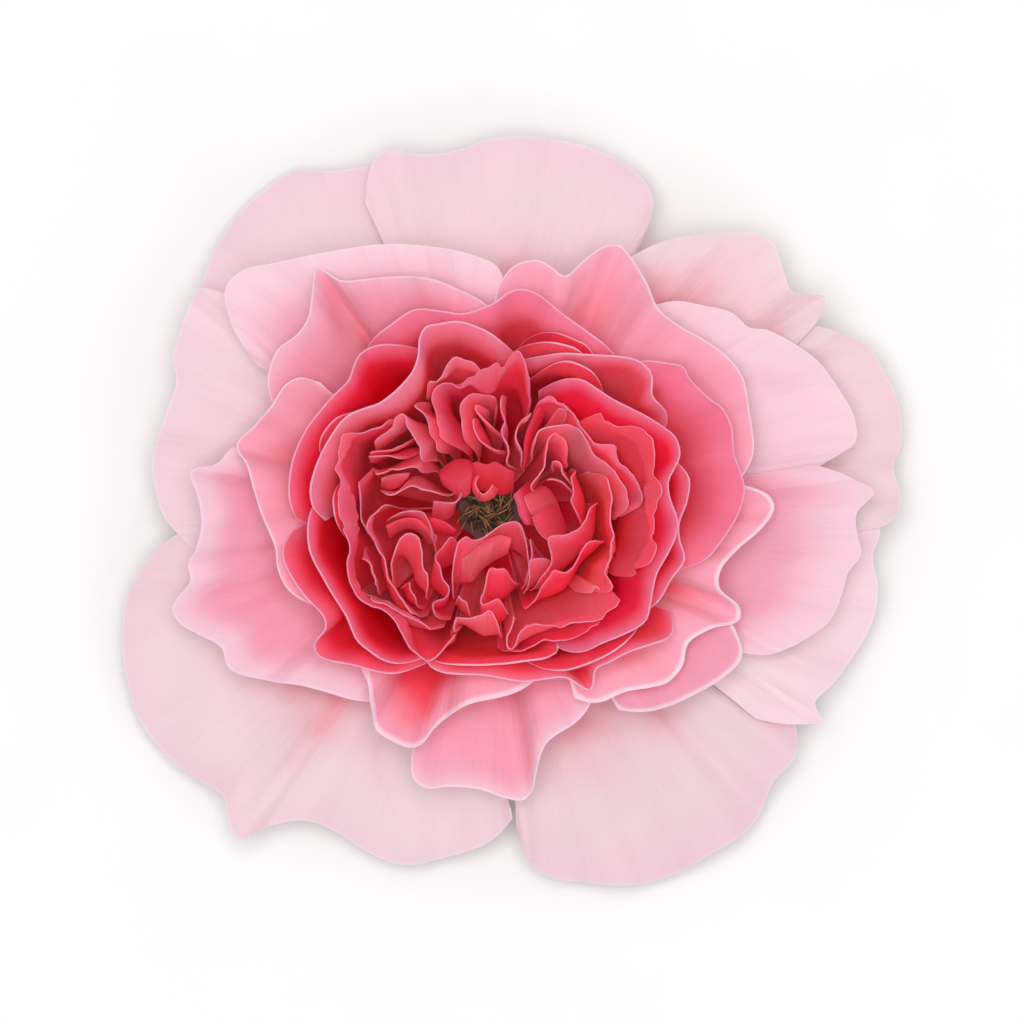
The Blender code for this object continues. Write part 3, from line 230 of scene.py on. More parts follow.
    "cup_left_peak": (2, 128, 32, 92, 1.2, [
        (184, 25.6, 41), (178, 25.7, 41), (171.3, 25.7, 41), (163, 25.4, 41), (155.5, 25, 41),
        (146.3, 24.3, 41), (140, 22.8, 42), (136, 21.9, 42), (130, 21.6, 42), (125, 21.8, 42),
        (119, 22.6, 42), (115, 24, 42), (111.5, 26.8, 41), (109, 27.7, 41), (105, 27.6, 40),
        (99, 27.3, 40), (92.2, 25.9, 41), (86, 24.4, 41), (80, 23.4, 41)]),
    "cup_right_main": (2, 348, 32, 80, 2.6, [
        (72, 22, 42), (63, 22.4, 42), (55.7, 22.9, 42), (48, 23.2, 42), (42.3, 23.7, 42), (36, 24.9, 41),
        (31.6, 26, 41), (26, 27.5, 40), (21.5, 28.6, 40), (16.4, 28.4, 40), (12.5, 27, 41), (9.5, 26, 41),
        (5, 25.8, 41), (1.5, 26.2, 41), (356.5, 27, 41), (352, 26.9, 41), (346, 26.2, 41),
        (339.4, 25.6, 41), (334, 26, 41), (330.2, 26.6, 40), (325, 27.4, 40), (321.5, 27, 40),
        (315, 25.7, 40), (309.3, 24.8, 40), (302, 24.5, 40), (296.2, 24, 40), (290, 22.9, 41)]),
    "cup_bottom_inner": (2, 268, 32, 102, 0.2, [
        (297, 23.6, 41), (285.5, 22.2, 41), (276, 22, 41), (267.4, 22.1, 41), (258, 22.5, 41),
        (250, 23.5, 40)]),
}

# petals of the quartered heart: rim knots (x, y, height)
FOLDS = {
    "wall_left": [
        (-15, 15.6, 41), (-18, 13.4, 41), (-20.4, 11, 41), (-21, 9, 41), (-21.4, 6.4, 41), (-21.2, 3, 41),
        (-20.9, 0, 41), (-20.3, -3, 41), (-19.4, -5.6, 41), (-19.7, -8, 41), (-19.4, -10, 41),
        (-18.4, -12.2, 41), (-15.2, -13.6, 41), (-13, -15.6, 41), (-11.5, -18.2, 41), (-10, -20.3, 41),
        (-8.4, -21.4, 41), (-6.4, -20.8, 40), (-5.3, -19.4, 40), (-5.8, -17.6, 39)],
    "wall_top": [
        (-11.4, 19.8, 41), (-10, 20.6, 41), (-7.6, 21, 41), (-4.6, 21.2, 41), (-1.6, 21.1, 41),
        (0.6, 21, 41)],
    "wall_right": [
        (14.5, 15.6, 41), (18, 15, 41), (20.6, 13.3, 41), (22.3, 10.6, 41), (23.4, 6.4, 41),
        (23.8, 2, 41), (23.6, -2, 41), (22.8, -7, 41), (21.4, -11, 41)],
    "arch_outer": [
        (7.3, 16.6, 41), (7.9, 17.7, 41), (9.6, 17.9, 41), (11.4, 16.9, 41), (12.6, 15.3, 41),
        (14.2, 12.8, 41), (16.2, 9.9, 41), (18.6, 7.4, 41), (21, 5, 41), (22.4, 2.6, 40), (22.6, -1, 40)],
    "arch_inner": [
        (5.8, 7.2, 38), (6.1, 9.4, 39), (7.6, 11.4, 40), (9.8, 12.3, 40), (11.6, 12.8, 40),
        (13.2, 11.8, 40), (14.6, 9.6, 40), (16.2, 7.1, 40), (18.4, 4.7, 40), (20.4, 2, 39),
        (21, -1.4, 39)],
    "arch_core": [
        (4.8, 1.2, 36), (6.2, 4, 37), (7.7, 6.8, 38), (8.4, 9.6, 39), (9.6, 11.2, 39), (11, 10.9, 39),
        (11.5, 9.4, 39), (11.1, 7.6, 39)],
    "ridge_right": [(12, 7.2, 38), (11.5, 5, 38), (11.4, 2.6, 38), (11.8, 0, 37), (12.1, -2, 36)],
    "wall_inner_right": [
        (15, 7, 39), (16.2, 4.9, 39), (17.3, 3, 40), (17.4, 0, 40), (17.1, -2.4, 40), (17.7, -5, 40),
        (17.6, -8.6, 40), (17.3, -11.6, 40), (16.2, -13.4, 39)],
    "heart_right": [
        (5.4, -9.2, 36), (7.2, -9, 37), (8, -7.2, 37), (8.4, -4.4, 38), (10.4, -3.6, 38),
        (12.6, -1.8, 38), (14, 0.2, 38), (14.5, 2.4, 38)],
    "heart_lower_right": [
        (4.8, -11.6, 38), (6.8, -10.6, 38), (9.2, -9.1, 39), (10.8, -8.6, 39), (12, -6.6, 39),
        (13.8, -4.4, 39), (15.6, -2.8, 39)],
    "wedge_lower_right": [
        (3.6, -12.6, 39), (3.3, -15, 39), (2.7, -17.8, 40), (3, -19.6, 40), (5, -18.4, 40), (8, -17, 40),
        (12, -15.9, 40), (16.5, -14.9, 40), (19.6, -13.4, 40), (20.8, -12.6, 40)],
    "wall_bottom": [
        (1.4, -20.6, 39), (5, -20.3, 39), (9, -20, 39), (12.6, -19, 39), (16, -17.4, 39),
        (18.6, -15.8, 39)],
    "cup_fold_bottom": [
        (3.7, -6, 36), (2, -7.6, 37), (0.3, -8, 37), (-0.5, -10, 38), (-1, -11.8, 38), (0.4, -13, 38),
        (2, -12.9, 38), (2.6, -11, 38)],
    "round_bottom": [
        (-4.6, -18.6, 38), (-5, -16.6, 39), (-4.2, -15.2, 39), (-1.6, -14.4, 39), (0.8, -15, 39),
        (2, -16.6, 39)],
    "tongue_centre": [
        (-4.8, -10, 36), (-4.9, -7.6, 36), (-4.2, -4.8, 36), (-2.6, -4, 36), (-0.5, -2.8, 35),
        (1.6, -1.7, 35), (3.8, -2, 35), (5, -4.2, 35), (4.6, -7.2, 35)],
    "loop_lower_left": [
        (-6.3, -16.8, 38), (-7.9, -15.8, 38), (-8.3, -14.2, 38), (-7, -12.9, 38), (-6, -11.6, 37),
        (-6.2, -9.4, 37), (-7.4, -7, 37), (-6.9, -5, 36), (-5, -3.8, 35), (-2.6, -3.8, 34)],
    "fold_lower_left": [
        (-12.6, -9.4, 38), (-13.4, -7, 38), (-13.4, -4.8, 38), (-11.6, -3.5, 38), (-9.8, -4.2, 38),
        (-8.9, -6.4, 38), (-8.7, -9, 37), (-8.6, -11.4, 37)],
    "blade_lower_left": [
        (-12.6, 0.8, 39), (-15.4, 0.4, 39), (-17.4, -0.9, 40), (-17.5, -3.2, 40), (-15.6, -6.4, 40),
        (-14.2, -9.4, 40), (-12.9, -12.2, 40), (-11.2, -14.6, 40), (-9.6, -15.8, 39)],
    "blade_left_low": [
        (-16.6, 2.6, 38), (-14, 2, 39), (-12, 3, 39), (-10, 3.2, 38), (-8, 2.5, 37), (-5.6, 2, 35),
        (-4, 2.2, 34)],
    "blade_left_mid": [
        (-18.8, 5.4, 39), (-16, 5.2, 39), (-13.4, 6, 39), (-10.9, 6.1, 39), (-9, 5, 37), (-7.2, 4.2, 36)],
    "blade_left_high": [
        (-19.8, 7.4, 40), (-17.4, 7.8, 40), (-15.2, 8.1, 40), (-13.2, 7.2, 40), (-11.6, 7.2, 39)],
    "arch_left": [
        (-19.9, 9.9, 40), (-18, 12.8, 40), (-15.4, 14.5, 40), (-13.6, 14.9, 40), (-12.6, 13.6, 40),
        (-12, 11.4, 40), (-10.3, 9, 39), (-9.8, 7.2, 38), (-8.2, 5.4, 37)],
    "blade_top_left": [
        (-11.4, 18.2, 41), (-11.5, 16.6, 40), (-10.5, 15.2, 40), (-9.2, 13.4, 40), (-8.4, 11, 39),
        (-7.6, 8.4, 38), (-6.8, 6.4, 37)],
    "arch_top": [
        (-5.4, 8, 37), (-6.6, 10.6, 39), (-7.7, 13, 40), (-8, 16.2, 40), (-6.8, 18.2, 40),
        (-4.8, 19.2, 41), (-3.4, 19.9, 41), (-1.4, 19.5, 41), (0.4, 20.2, 41), (2.2, 22.3, 41),
        (3.4, 22.4, 41), (4.9, 20.8, 41), (5.7, 19, 41), (6.6, 17, 41)],
    "chevron_outer": [
        (-3.7, 8.6, 36), (-4, 11, 38), (-3.9, 14.2, 39), (-2.8, 16.2, 39), (-0.8, 17.9, 39),
        (0.8, 17.6, 39), (0.2, 15.6, 38)],
    "flap_top": [
        (2.4, 18.9, 40), (1.8, 16.6, 40), (1.5, 14.4, 40), (2.1, 12.6, 39), (1.8, 10.8, 38),
        (2.4, 8.8, 37), (2.4, 6.6, 36), (3.2, 4.6, 35)],
    "leaf_top": [
        (6.8, 15.6, 40), (5.6, 13.4, 40), (4.2, 12, 39), (3.8, 9.6, 38), (4.4, 7.2, 36), (4.2, 4.6, 35)],
}

# marks (x, y, dx, dy) that say how far, and which way, folds lean below their tips
LEAN = [
    (13, 4, 4.6, -1.4), (12, -1, 5, -3.4), (8, -4, 4.7, -5.4), (10, -8, 5.4, -6.8), (14, -5, 2.6, -3.8),
    (6, -11, 2, -7.4), (10, -12, 2, -6.1), (14, -11, 1, -2), (6, -16, 0.5, -3), (11, -16, 0.5, -2.5),
    (0, -14, 0, -8.1), (0, -18, 0, -2.5), (0, -9, 0, -7.4), (-3, -5, -1.4, -8.1), (3, -3, 0.7, -8.1),
    (-5, -13, -1.4, -6.1), (-8, -8, -2.7, -5.4), (-12, -5, -2.7, -4.7), (-10, -12, -2.7, -4.1),
    (-8, -16, -0.5, -2), (-17, -4, -0.5, 0), (-15, -9, -1, -0.5), (-11, -0.5, -0.7, -5.4),
    (-15, -1, -0.5, -1.5), (-7, -1, -0.7, -3.4), (-13, 2.5, 0, 3.4), (-9, 3, 0, 1.5), (-12, 6, 0, 5.4),
    (-16, 6.5, 0, 3.5), (-15, 10, 0, 2.5), (-17, 13, 0, 0), (-11, 11, 4.8, 1.5), (-8.5, 15, 3, -1),
    (-3, 19, 0.5, -2.6), (3, 20, 0, -2), (-4, 12, 3, -0.6), (0, 15, 2, -2.2), (0, 10, 1.5, 0),
    (0, 2.5, 0, 3.4), (-4.5, 2.5, 0, 3), (4.5, 2.5, 2, 2), (2.5, 14, 0.5, 0), (6, 13, -2, 0),
    (3, 6, 0, 1), (9, 16, -0.5, -3.5), (8, 9, 1, 0), (6, 3, 2, 1.4), (14, 10, -0.5, -1.5),
    (18, 6, -1.5, -1), (17, 0, 1.6, -0.5), (17, -8, 1, -0.5), (23, 0, -1.6, 0), (22, -9, -1.4, 0.6),
    (22, 10, -2, -1), (15, 18, -2, -2.5), (0, -21.5, 0, 0), (10, -20.5, 0, 0), (18, -15, 0, 0),
    (-21, 0, 0, 0), (-20.5, 8, 0, 0), (-19, -10, 0, 0), (-13, -17, 0, 0), (-8, 21, 0.5, -1), (0, 0, 0, 0),
]

# small petaloids between the larger folds: rim knots (x, y, height)
PETALOIDS = {
    "hood_left": [
        (-15.2, -1.2, 37.4), (-12.6, -0.2, 37.6), (-10.4, -0.1, 37.4), (-8.2, -1.6, 36.6),
        (-6.6, -3.6, 35.6)],
    "wall_low_left": [
        (-18.2, -11.4, 40.6), (-16.4, -12.6, 40.4), (-14.4, -13.4, 40.2), (-12.4, -14.3, 40),
        (-10.4, -15.4, 39.8), (-8.2, -16.2, 39.6), (-6.6, -16, 39.2)],
    "blade_left_top": [(-19.2, 7.6, 40.4), (-17.2, 8.6, 40), (-15.1, 10.2, 39.6), (-13.2, 11.4, 39.4)],
    "chevron_inner": [(-0.6, 16.6, 38.6), (-1.8, 14.6, 38.4), (-1, 13, 37.8), (1, 11.2, 37.2)],
    "leaf_chevron": [
        (-3, 14.4, 38.4), (-2.4, 12, 37.8), (-1.2, 9.6, 37.2), (0.4, 8.4, 36.6), (1.8, 8, 36.2)],
    "step_centre": [(5, -2, 35.4), (5.6, -4.4, 35.8), (5.4, -6.4, 36), (4.2, -7.8, 36.2)],
    "step_lower": [(7.6, -4.6, 36.6), (7.2, -6, 36.8), (6, -7.2, 36.8), (4.4, -8.4, 36.8)],
    "curl_right": [(7, 3.6, 37), (8.4, 4.2, 37), (9.8, 3.8, 37.2), (10.4, 2.6, 37.2)],
    "corner_right": [(14.8, -13, 39.4), (15, -10.6, 39.6), (15.9, -11, 39.6), (16.4, -12.4, 39.4)],
    "blade_low_outer": [
        (-19.4, -5.8, 40.6), (-17.8, -7.6, 40.4), (-16.4, -9.6, 40.4), (-15.4, -11.8, 40.2)],
    "curl_low_left": [(-11.6, -8.8, 37.8), (-11.4, -10.8, 38), (-10.4, -12.4, 38.4), (-9.4, -13.4, 38.4)],
    "loop_low": [(-4.6, -11, 37.2), (-3.8, -12.4, 37.6), (-2.4, -13, 37.8)],
    "upright_left": [
        (-19, 5.4, 39.8), (-19.3, 3, 39.8), (-19, 0.4, 39.6), (-18.6, -2, 39.6), (-17.8, -4.4, 39.4)],
    "loop_heart": [
        (8.6, 5.8, 37.2), (9.2, 7.2, 37.8), (10.1, 7, 37.8), (10.4, 5.2, 37.6), (10.2, 3.6, 37.2)],
    "leaf_top_right": [(9, 14.4, 39.6), (10.6, 15, 39.8), (12.2, 14, 39.8)],
}

# small lobes that roll over the opening: front edge, back edge (x, y, height) and how far they bulge between
LOBES = {
    "lobe_top_left": (
        [(-6.6, 3.6, 32.8), (-5.2, 2.7, 33.2), (-3.9, 2, 33.2), (-3.1, 2.2, 33), (-2.6, 3.2, 32.8)],
        [
         (-7.4, 5.4, 32.2), (-5.8, 6.8, 32.4), (-4.2, 7.4, 32.4), (-3, 7.2, 32.4),
         (-2.2, 6.6, 32.2)], 1.0),
    "curl_opening": (
        [
         (-1.5, 5, 34.8), (-1.9, 4, 34.8), (-1.6, 3, 34.6), (-0.9, 2.4, 34.2), (-0.2, 2.8, 34.2),
         (0.4, 3.7, 34)],
        [
         (-2.2, 4.9, 32.6), (-2.6, 4, 32.4), (-2.2, 2.5, 32), (-0.9, 1.4, 31.6), (0.6, 1.9, 31.8),
         (1.3, 3, 31.8)], 0.4),
    "lobe_left": (
        [(-8, 1.4, 35.6), (-6.4, 1.2, 35), (-5, 1.2, 34.6), (-4.2, 1.8, 34.4), (-3.9, 2.8, 34.4)],
        [
         (-8.4, -1.4, 31), (-6.4, -1.4, 30.6), (-5.2, -0.4, 30.4), (-4.9, 1, 30.4),
         (-4.6, 2.8, 30.6)], 0.5),
    "lobe_right": (
        [(3.5, 2.2, 34.4), (4, 0.8, 34.4), (4.3, -0.6, 34.4), (5, -1.9, 34.6)],
        [(5.6, 4.2, 30.6), (7, 2, 30.4), (7.2, 0, 30.4), (7, -2.4, 30.6)], 1.4),
    "shingle_low": (
        [(5, 1.9, 35), (5.2, 1.2, 35.2), (5.6, 0.2, 35.4), (6.1, -0.6, 35.2)],
        [(7.4, 3.6, 31), (8.4, 3.2, 31.2), (9.2, 2.2, 31.2), (10, 0.6, 31), (10.4, -1, 30.8)], 0.7),
    "shingle_mid": (
        [(6.2, -0.9, 35.8), (6.5, -2, 36), (7.2, -3.3, 36.4), (8.4, -4.3, 36.8), (10, -4.9, 37.2)],
        [
         (9.2, 1, 32.4), (10.2, -0.2, 32.4), (10.8, -1.8, 32.2), (11.2, -3.4, 32.2),
         (11.8, -4.6, 32.2)], 0.9),
}

# inner petals that fill the gaps between the folds with a sloping face: high edge, low edge, bulge
FACES = {
    "face_left_mid": (
        [(-15.4, 4.6, 37.6), (-14, 5.1, 37.4), (-12.6, 5.3, 37.2), (-11.4, 5.4, 36.8)],
        [(-15.6, 3.4, 34), (-14.4, 3, 34), (-13, 3.4, 34), (-11.9, 4, 33.8)], 0.7),
    "face_hood": (
        [
         (-14.8, -2.2, 36.6), (-12.6, -1.2, 36.8), (-10.5, -1.2, 36.4), (-8.8, -2.5, 35.4),
         (-7.5, -4.2, 34.6)],
        [
         (-14.4, -4, 33.4), (-13, -3, 33.2), (-11.6, -2.6, 33), (-10, -3.2, 32.8),
         (-8.6, -5, 32.4)], 0.6),
    "face_opening_left": (
        [(-8.6, -1, 34.8), (-7, -1.4, 34.4), (-5.8, -2, 34), (-4.8, -2.8, 33.6)],
        [(-7.8, -3, 32), (-6.8, -3.2, 31.6), (-6, -3.4, 31.4), (-5.2, -3.6, 31.4)], 0.6),
    "face_tongue": (
        [(-4, -6, 34.2), (-2.4, -5.4, 34.4), (-0.6, -4.4, 34.4), (1.4, -3.6, 34.2), (3.2, -4, 33.8)],
        [
         (-4, -10, 32.4), (-2.6, -10.2, 32.6), (-1.2, -8.6, 32.6), (0.6, -7.2, 32.4),
         (2.6, -6.2, 32)], 1.0),
    "face_opening_top": (
        [
         (-2.8, 6.6, 33), (-1.8, 7, 33.4), (-0.4, 6.6, 33.4), (0.8, 7, 33.6), (2, 6.4, 33.6),
         (3.5, 5.6, 33.4)],
        [(-2.4, 3.6, 30.6), (-1.4, 3, 30.2), (0.2, 2.7, 30), (2, 2.3, 30.2), (3.5, 2.9, 30.6)], 0.3),
    "face_leaf": (
        [(7, 15, 38.8), (5.9, 12.6, 38), (5, 10, 37), (5, 7.6, 36), (4.8, 6, 35.2)],
        [(8.2, 14, 36.4), (7.2, 12.2, 36), (6.2, 10.2, 35.2), (5.7, 8.4, 34.4), (5.3, 7, 34)], 0.5),
}

# petals whose pale edge is a broad rolled lip, as a share of the usual distance; the broad pale band is
# partly a painted highlight on the lip that faces up
BROAD_LIP = {
    "mid_bottom": 0.25, "mid_lower_right": 0.3, "mid_lower_right_inner": 0.3, "mid_lower_left": 0.4,
    "mid_bottom_outer": 0.5,
}

# slim petals that show only a rim between two of the cup: the petal they lie inside, then a row as in PETALS
RIM_PETALS = {
    "rim_top_outer": ("cup_top", (2, 65, 30, 88, 1.2, [
        (80.9, 28.4, 38), (71.8, 27.6, 38.4), (63.1, 27.4, 38.6), (54.4, 28.5, 38.6), (47.7, 29.7, 38)])),
    "rim_top_inner": ("cup_top", (2, 65, 30, 90, 1.0, [
        (84.6, 25.3, 38.8), (73.6, 25.5, 39.4), (62.9, 26.3, 39.6), (55.6, 27.6, 39.6),
        (48.7, 28.8, 39)])),
    "rim_left_outer": ("cup_left_outer", (2, 150, 31, 90, 1.2, [
        (132.6, 23.9, 39.4), (142.4, 24.2, 39.6), (149.2, 25.6, 39.6), (156.3, 26.4, 39.6),
        (162.9, 27.2, 39.4), (169.2, 27.7, 39)])),
    "rim_bottom_right": ("cup_bottom_outer", (2, 300, 30, 90, 1.0, [
        (271.3, 22.9, 39), (284.4, 24.2, 39.4), (295.7, 25.4, 39.6), (306.2, 26.4, 39.8),
        (316.5, 27.6, 39.8), (324.9, 28.9, 39.4), (330.8, 29.1, 38.6)])),
    "rim_right_top": ("cup_upper_right", (2, 58, 31, 90, 1.2, [
        (77.2, 22.6, 40.2), (65.3, 23.9, 41), (55.5, 24.7, 41.2), (47, 24.9, 41), (40, 24.7, 40.4)])),
    "rim_left_inner": ("cup_left_peak", (2, 180, 32, 92, 1.0, [
        (163.6, 23.2, 40.8), (172.3, 22.6, 41), (180, 22.2, 41), (188, 21.9, 40.8),
        (196.2, 21.8, 40.2)])),
}

# how far a rim rolls outwards, where a petal differs from its ring
ROLL = {
    "cup_right_main": 2.4, "cup_left_peak": 2.0, "cup_left_outer": 2.0, "cup_bottom_outer": 1.8,
    "cup_top": 1.8,
}

# how far in from its rim a petal's deep colour counts as begun, and how fast it comes, by petal or by its
# ring;
# the deep colour is partly the petal's blush towards its claw and partly painted shade down between the
# petals
BLUSH_AND_SHADE = {
    "guard": (0, 1), "mid": (0, 1), "cup": (0.8, 0.8), "rim": (2.6, 1), "heart": (0.9, 0.45),
    "face": (1.8, 0.3), "guard_upper_right": (14, 1), "guard_right": (6, 1), "guard_bottom_left": (3, 1),
    "mid_upper_right": (0, 0.05), "mid_right": (0, 0.4), "mid_lower_left": (0, 0.8),
    "mid_upper_left": (0, 0.3), "mid_top_left": (3, 0.8), "mid_top_right": (4, 0.8),
    "mid_bottom": (8, 1.3), "mid_left": (4, 1.1), "mid_lower_right_inner": (6, 1.2),
    "mid_lower_right": (4, 0.7), "mid_bottom_outer": (2, 0.8), "cup_top": (0, 0.35),
    "cup_right_outer": (0, 0.2), "cup_lower_left": (1.2, 0.4), "cup_left_outer": (0.8, 0.6),
    "cup_left_peak": (0.8, 0.3), "cup_right_main": (0.8, 0.8), "cup_bottom_inner": (3, 1),
    "cup_bottom_outer": (0.8, 0.8), "cup_lower_left_inner": (1, 0.8), "wall_left": (0.8, 0.4),
    "wall_right": (1.6, 0.9), "wall_bottom": (1.8, 0.6), "wall_inner_right": (1.8, 1),
    "wedge_lower_right": (1.6, 0.5), "flap_top": (0, 0.2), "arch_top": (0.6, 0.3),
    # lobe_top_left starts deep, so that its back, away from its front edge, is painted shade as if it went
    # down into the hollow
    "arch_outer": (0.4, 0.6), "lobe_top_left": (3, 0.4), "face_opening_top": (5, 0.5),
    "shingle_low": (2.2, 0.5), "shingle_mid": (2, 0.5), "curl_opening": (1.8, 0.3),
}


# ---- curves and waves

def polar(azimuth, reach, height):
    a = np.radians(azimuth)
    return np.stack([reach * np.cos(a), reach * np.sin(a), height + 0 * a], -1)


def knot_curve(knots, count):
    """count + 1 points, evenly spaced by length, on a smooth curve through the knots, and its length."""
    k = np.asarray(knots, float)
    k = np.vstack([2 * k[0] - k[1], k, 2 * k[-1] - k[-2]])
    t = np.linspace(0, 1, 24, endpoint=False)[:, None]
    runs = []
    for p0, p1, p2, p3 in zip(k, k[1:], k[2:], k[3:]):
        d0, d1, d2 = (math.sqrt(np.linalg.norm(b - a)) for a, b in ((p0, p1), (p1, p2), (p2, p3)))
        m1 = (p2 - p1) + d1 * ((p1 - p0) / d0 - (p2 - p0) / (d0 + d1))
        m2 = (p2 - p1) + d1 * ((p3 - p2) / d2 - (p3 - p1) / (d1 + d2))
        runs.append((2 * t**3 - 3 * t**2 + 1) * p1 + (t**3 - 2 * t**2 + t) * m1
                    + (3 * t**2 - 2 * t**3) * p2 + (t**3 - t**2) * m2)
    run = np.vstack([*runs, k[-2:-1]])
    length = np.concatenate([[0], np.cumsum(np.linalg.norm(np.diff(run, axis=0), axis=1))])
    at = np.linspace(0, length[-1], count + 1)
    return np.stack([np.interp(at, length, run[:, j]) for j in range(3)], 1), length[-1]


def run_length(line):
    return np.concatenate([[0], np.cumsum(np.linalg.norm(np.diff(line, axis=0), axis=1))])


def wave(s, seed, longest):
    """An irregular wave along s, about -1 to 1, the same for the same seed."""
    layers = (np.sin(2 * math.pi * s * 1.63**k / longest + seed * (2.4 + k)) / (1 + k * k) for k in range(4))
    return sum(layers) / 1.5


def from_ends(s):
    """Distance along a rim to the nearer of its two free ends."""
    return np.minimum(s, s[-1] - s)


def end_dip(s, kind):
    """How far the rim sinks towards its two free ends, which rounds a petal's shoulders."""
    drop, run = END_DIP[kind]
    run = min(run, s[-1, ...].max() / (2 if kind == "rim" else 3))
    return drop * np.clip(1 - from_ends(s) / run, 0, 1) ** 2


# ---- shapes of petals, folds and lobes

def petal_sheet(row, along, across, seed, roll, kind, shoulder):
    """Mid-surface of a petal that rises from its claw to its rim, as an (along+1, across+1, 3) grid."""
    ring, claw, rise, lean, flare, knots = row
    rim, _ = knot_curve([polar(*k) for k in knots], along)
    claw_r, claw_z = CLAW[ring]
    turn = (knots[-1][0] - knots[0][0] + 180) % 360 - 180
    spread = math.copysign(math.degrees(CLAW_HALF_WIDTH / claw_r), turn)
    base = polar(claw + spread * np.linspace(-1, 1, along + 1), np.full(along + 1, claw_r), claw_z)
    out = rim[:, :2] - base[:, :2]
    reach = np.linalg.norm(out, axis=1)
    out = out / reach[:, None]
    up = rim[:, 2] - base[:, 2]
    flare = np.minimum(flare, reach / 2)
    reach = reach - roll

    # the blade is one curve from claw to rim, which starts at its rise and ends at its lean
    pull = CURVE_PULL * np.hypot(reach - flare, up)
    a, b = math.radians(rise), math.radians(lean)
    x1, z1 = pull * math.cos(a), pull * math.sin(a)
    x2, z2 = reach - flare - pull * math.cos(b), up - pull * math.sin(b)
    s = run_length(rim)[:, None]
    share, length = shoulder
    cut = share * np.clip(1 - from_ends(s) / min(length, SHOULDER_MOST * s[-1, 0]), 0, 1) ** 2
    v = np.linspace(0, 1, across + 1)[None, :] * (1 - cut)
    w1, w2, w3 = 3 * (1 - v) ** 2 * v, 3 * (1 - v) * v**2, v**3
    x = w1 * x1[:, None] + w2 * x2[:, None] + w3 * (reach - flare)[:, None]
    z = w1 * z1[:, None] + w2 * z2[:, None] + w3 * up[:, None]
    x = x + flare[:, None] * np.clip((v - FLARE_FROM) / FLARE_OVER, 0, 1) ** 2
    grid = np.zeros((along + 1, across + 1, 3))
    grid[..., :2] = base[:, None, :2] + out[:, None] * x[..., None]

    # the rim rolls outwards and over, and waves run along it and fade down the blade
    down = (1 - cut - v) * np.hypot(reach, up)[:, None]
    rolled = np.clip(1 - down / (LIP_WIDE * max(1, roll / LIP_OUT)), 0, 1) ** 2
    grid[..., :2] += out[:, None] * (roll * rolled)[..., None]
    height, length = SWELL[ring]
    ends = np.clip(from_ends(s) / SWELL_END, 0, 1)
    rim_wave = wave(s, seed, length) * np.exp(-down / SWELL_DEPTH)
    blade_wave = 0.5 * wave(s + 2 * down, seed + 5, 2.2 * length) * v
    swell = height * ends * (rim_wave + blade_wave)
    lip = LIP_DROP * (0.6 + 0.4 * wave(s, seed + 2, length)) * rolled
    grid[..., 2] = base[:, None, 2] + z + swell - lip - end_dip(s, kind) * v**2
    return grid


def heart_top(mark):
    """Level of the heart's own surface, a shallow dish that rises from the opening to the wall."""
    s = np.clip((np.linalg.norm(mark, axis=-1) - DISH_FROM) / DISH_WIDE, 0, 1)
    return DISH_Z + (HEART_Z - DISH_Z) * s * s * (3 - 2 * s)


def kept_share(z):
    """Share of its plan radius that a fold keeps at a level, drawing in towards the foot."""
    return 1 - DRAW_IN * ((TIP_Z - z) / (TIP_Z - FOOT_Z)) ** DRAW_POWER


def heart_law(mark, z):
    """Share of its plan place that a fold keeps at a level, and share of its lean that it has taken up."""
    top = heart_top(mark)
    fall = np.clip((top - z) / LEAN_DEPTH, -0.5, 1)
    back = np.clip((top - LEAN_DEPTH - z) / (top - LEAN_DEPTH - FOOT_Z), 0, 1)
    return kept_share(z), np.sin(math.pi / 2 * fall) * np.cos(math.pi / 2 * back) ** 2


def lean_at(xy):
    """Lean of the heart at a place, blended from the marks round it."""
    marks = np.array(LEAN, float)
    away = ((xy[..., None, :] - marks[:, :2]) ** 2).sum(-1)
    share = np.exp(-away / LEAN_SPREAD) + 1e-6 / (away + 1)
    return (share[..., None] * marks[:, 2:]).sum(-2) / share.sum(-1)[..., None]


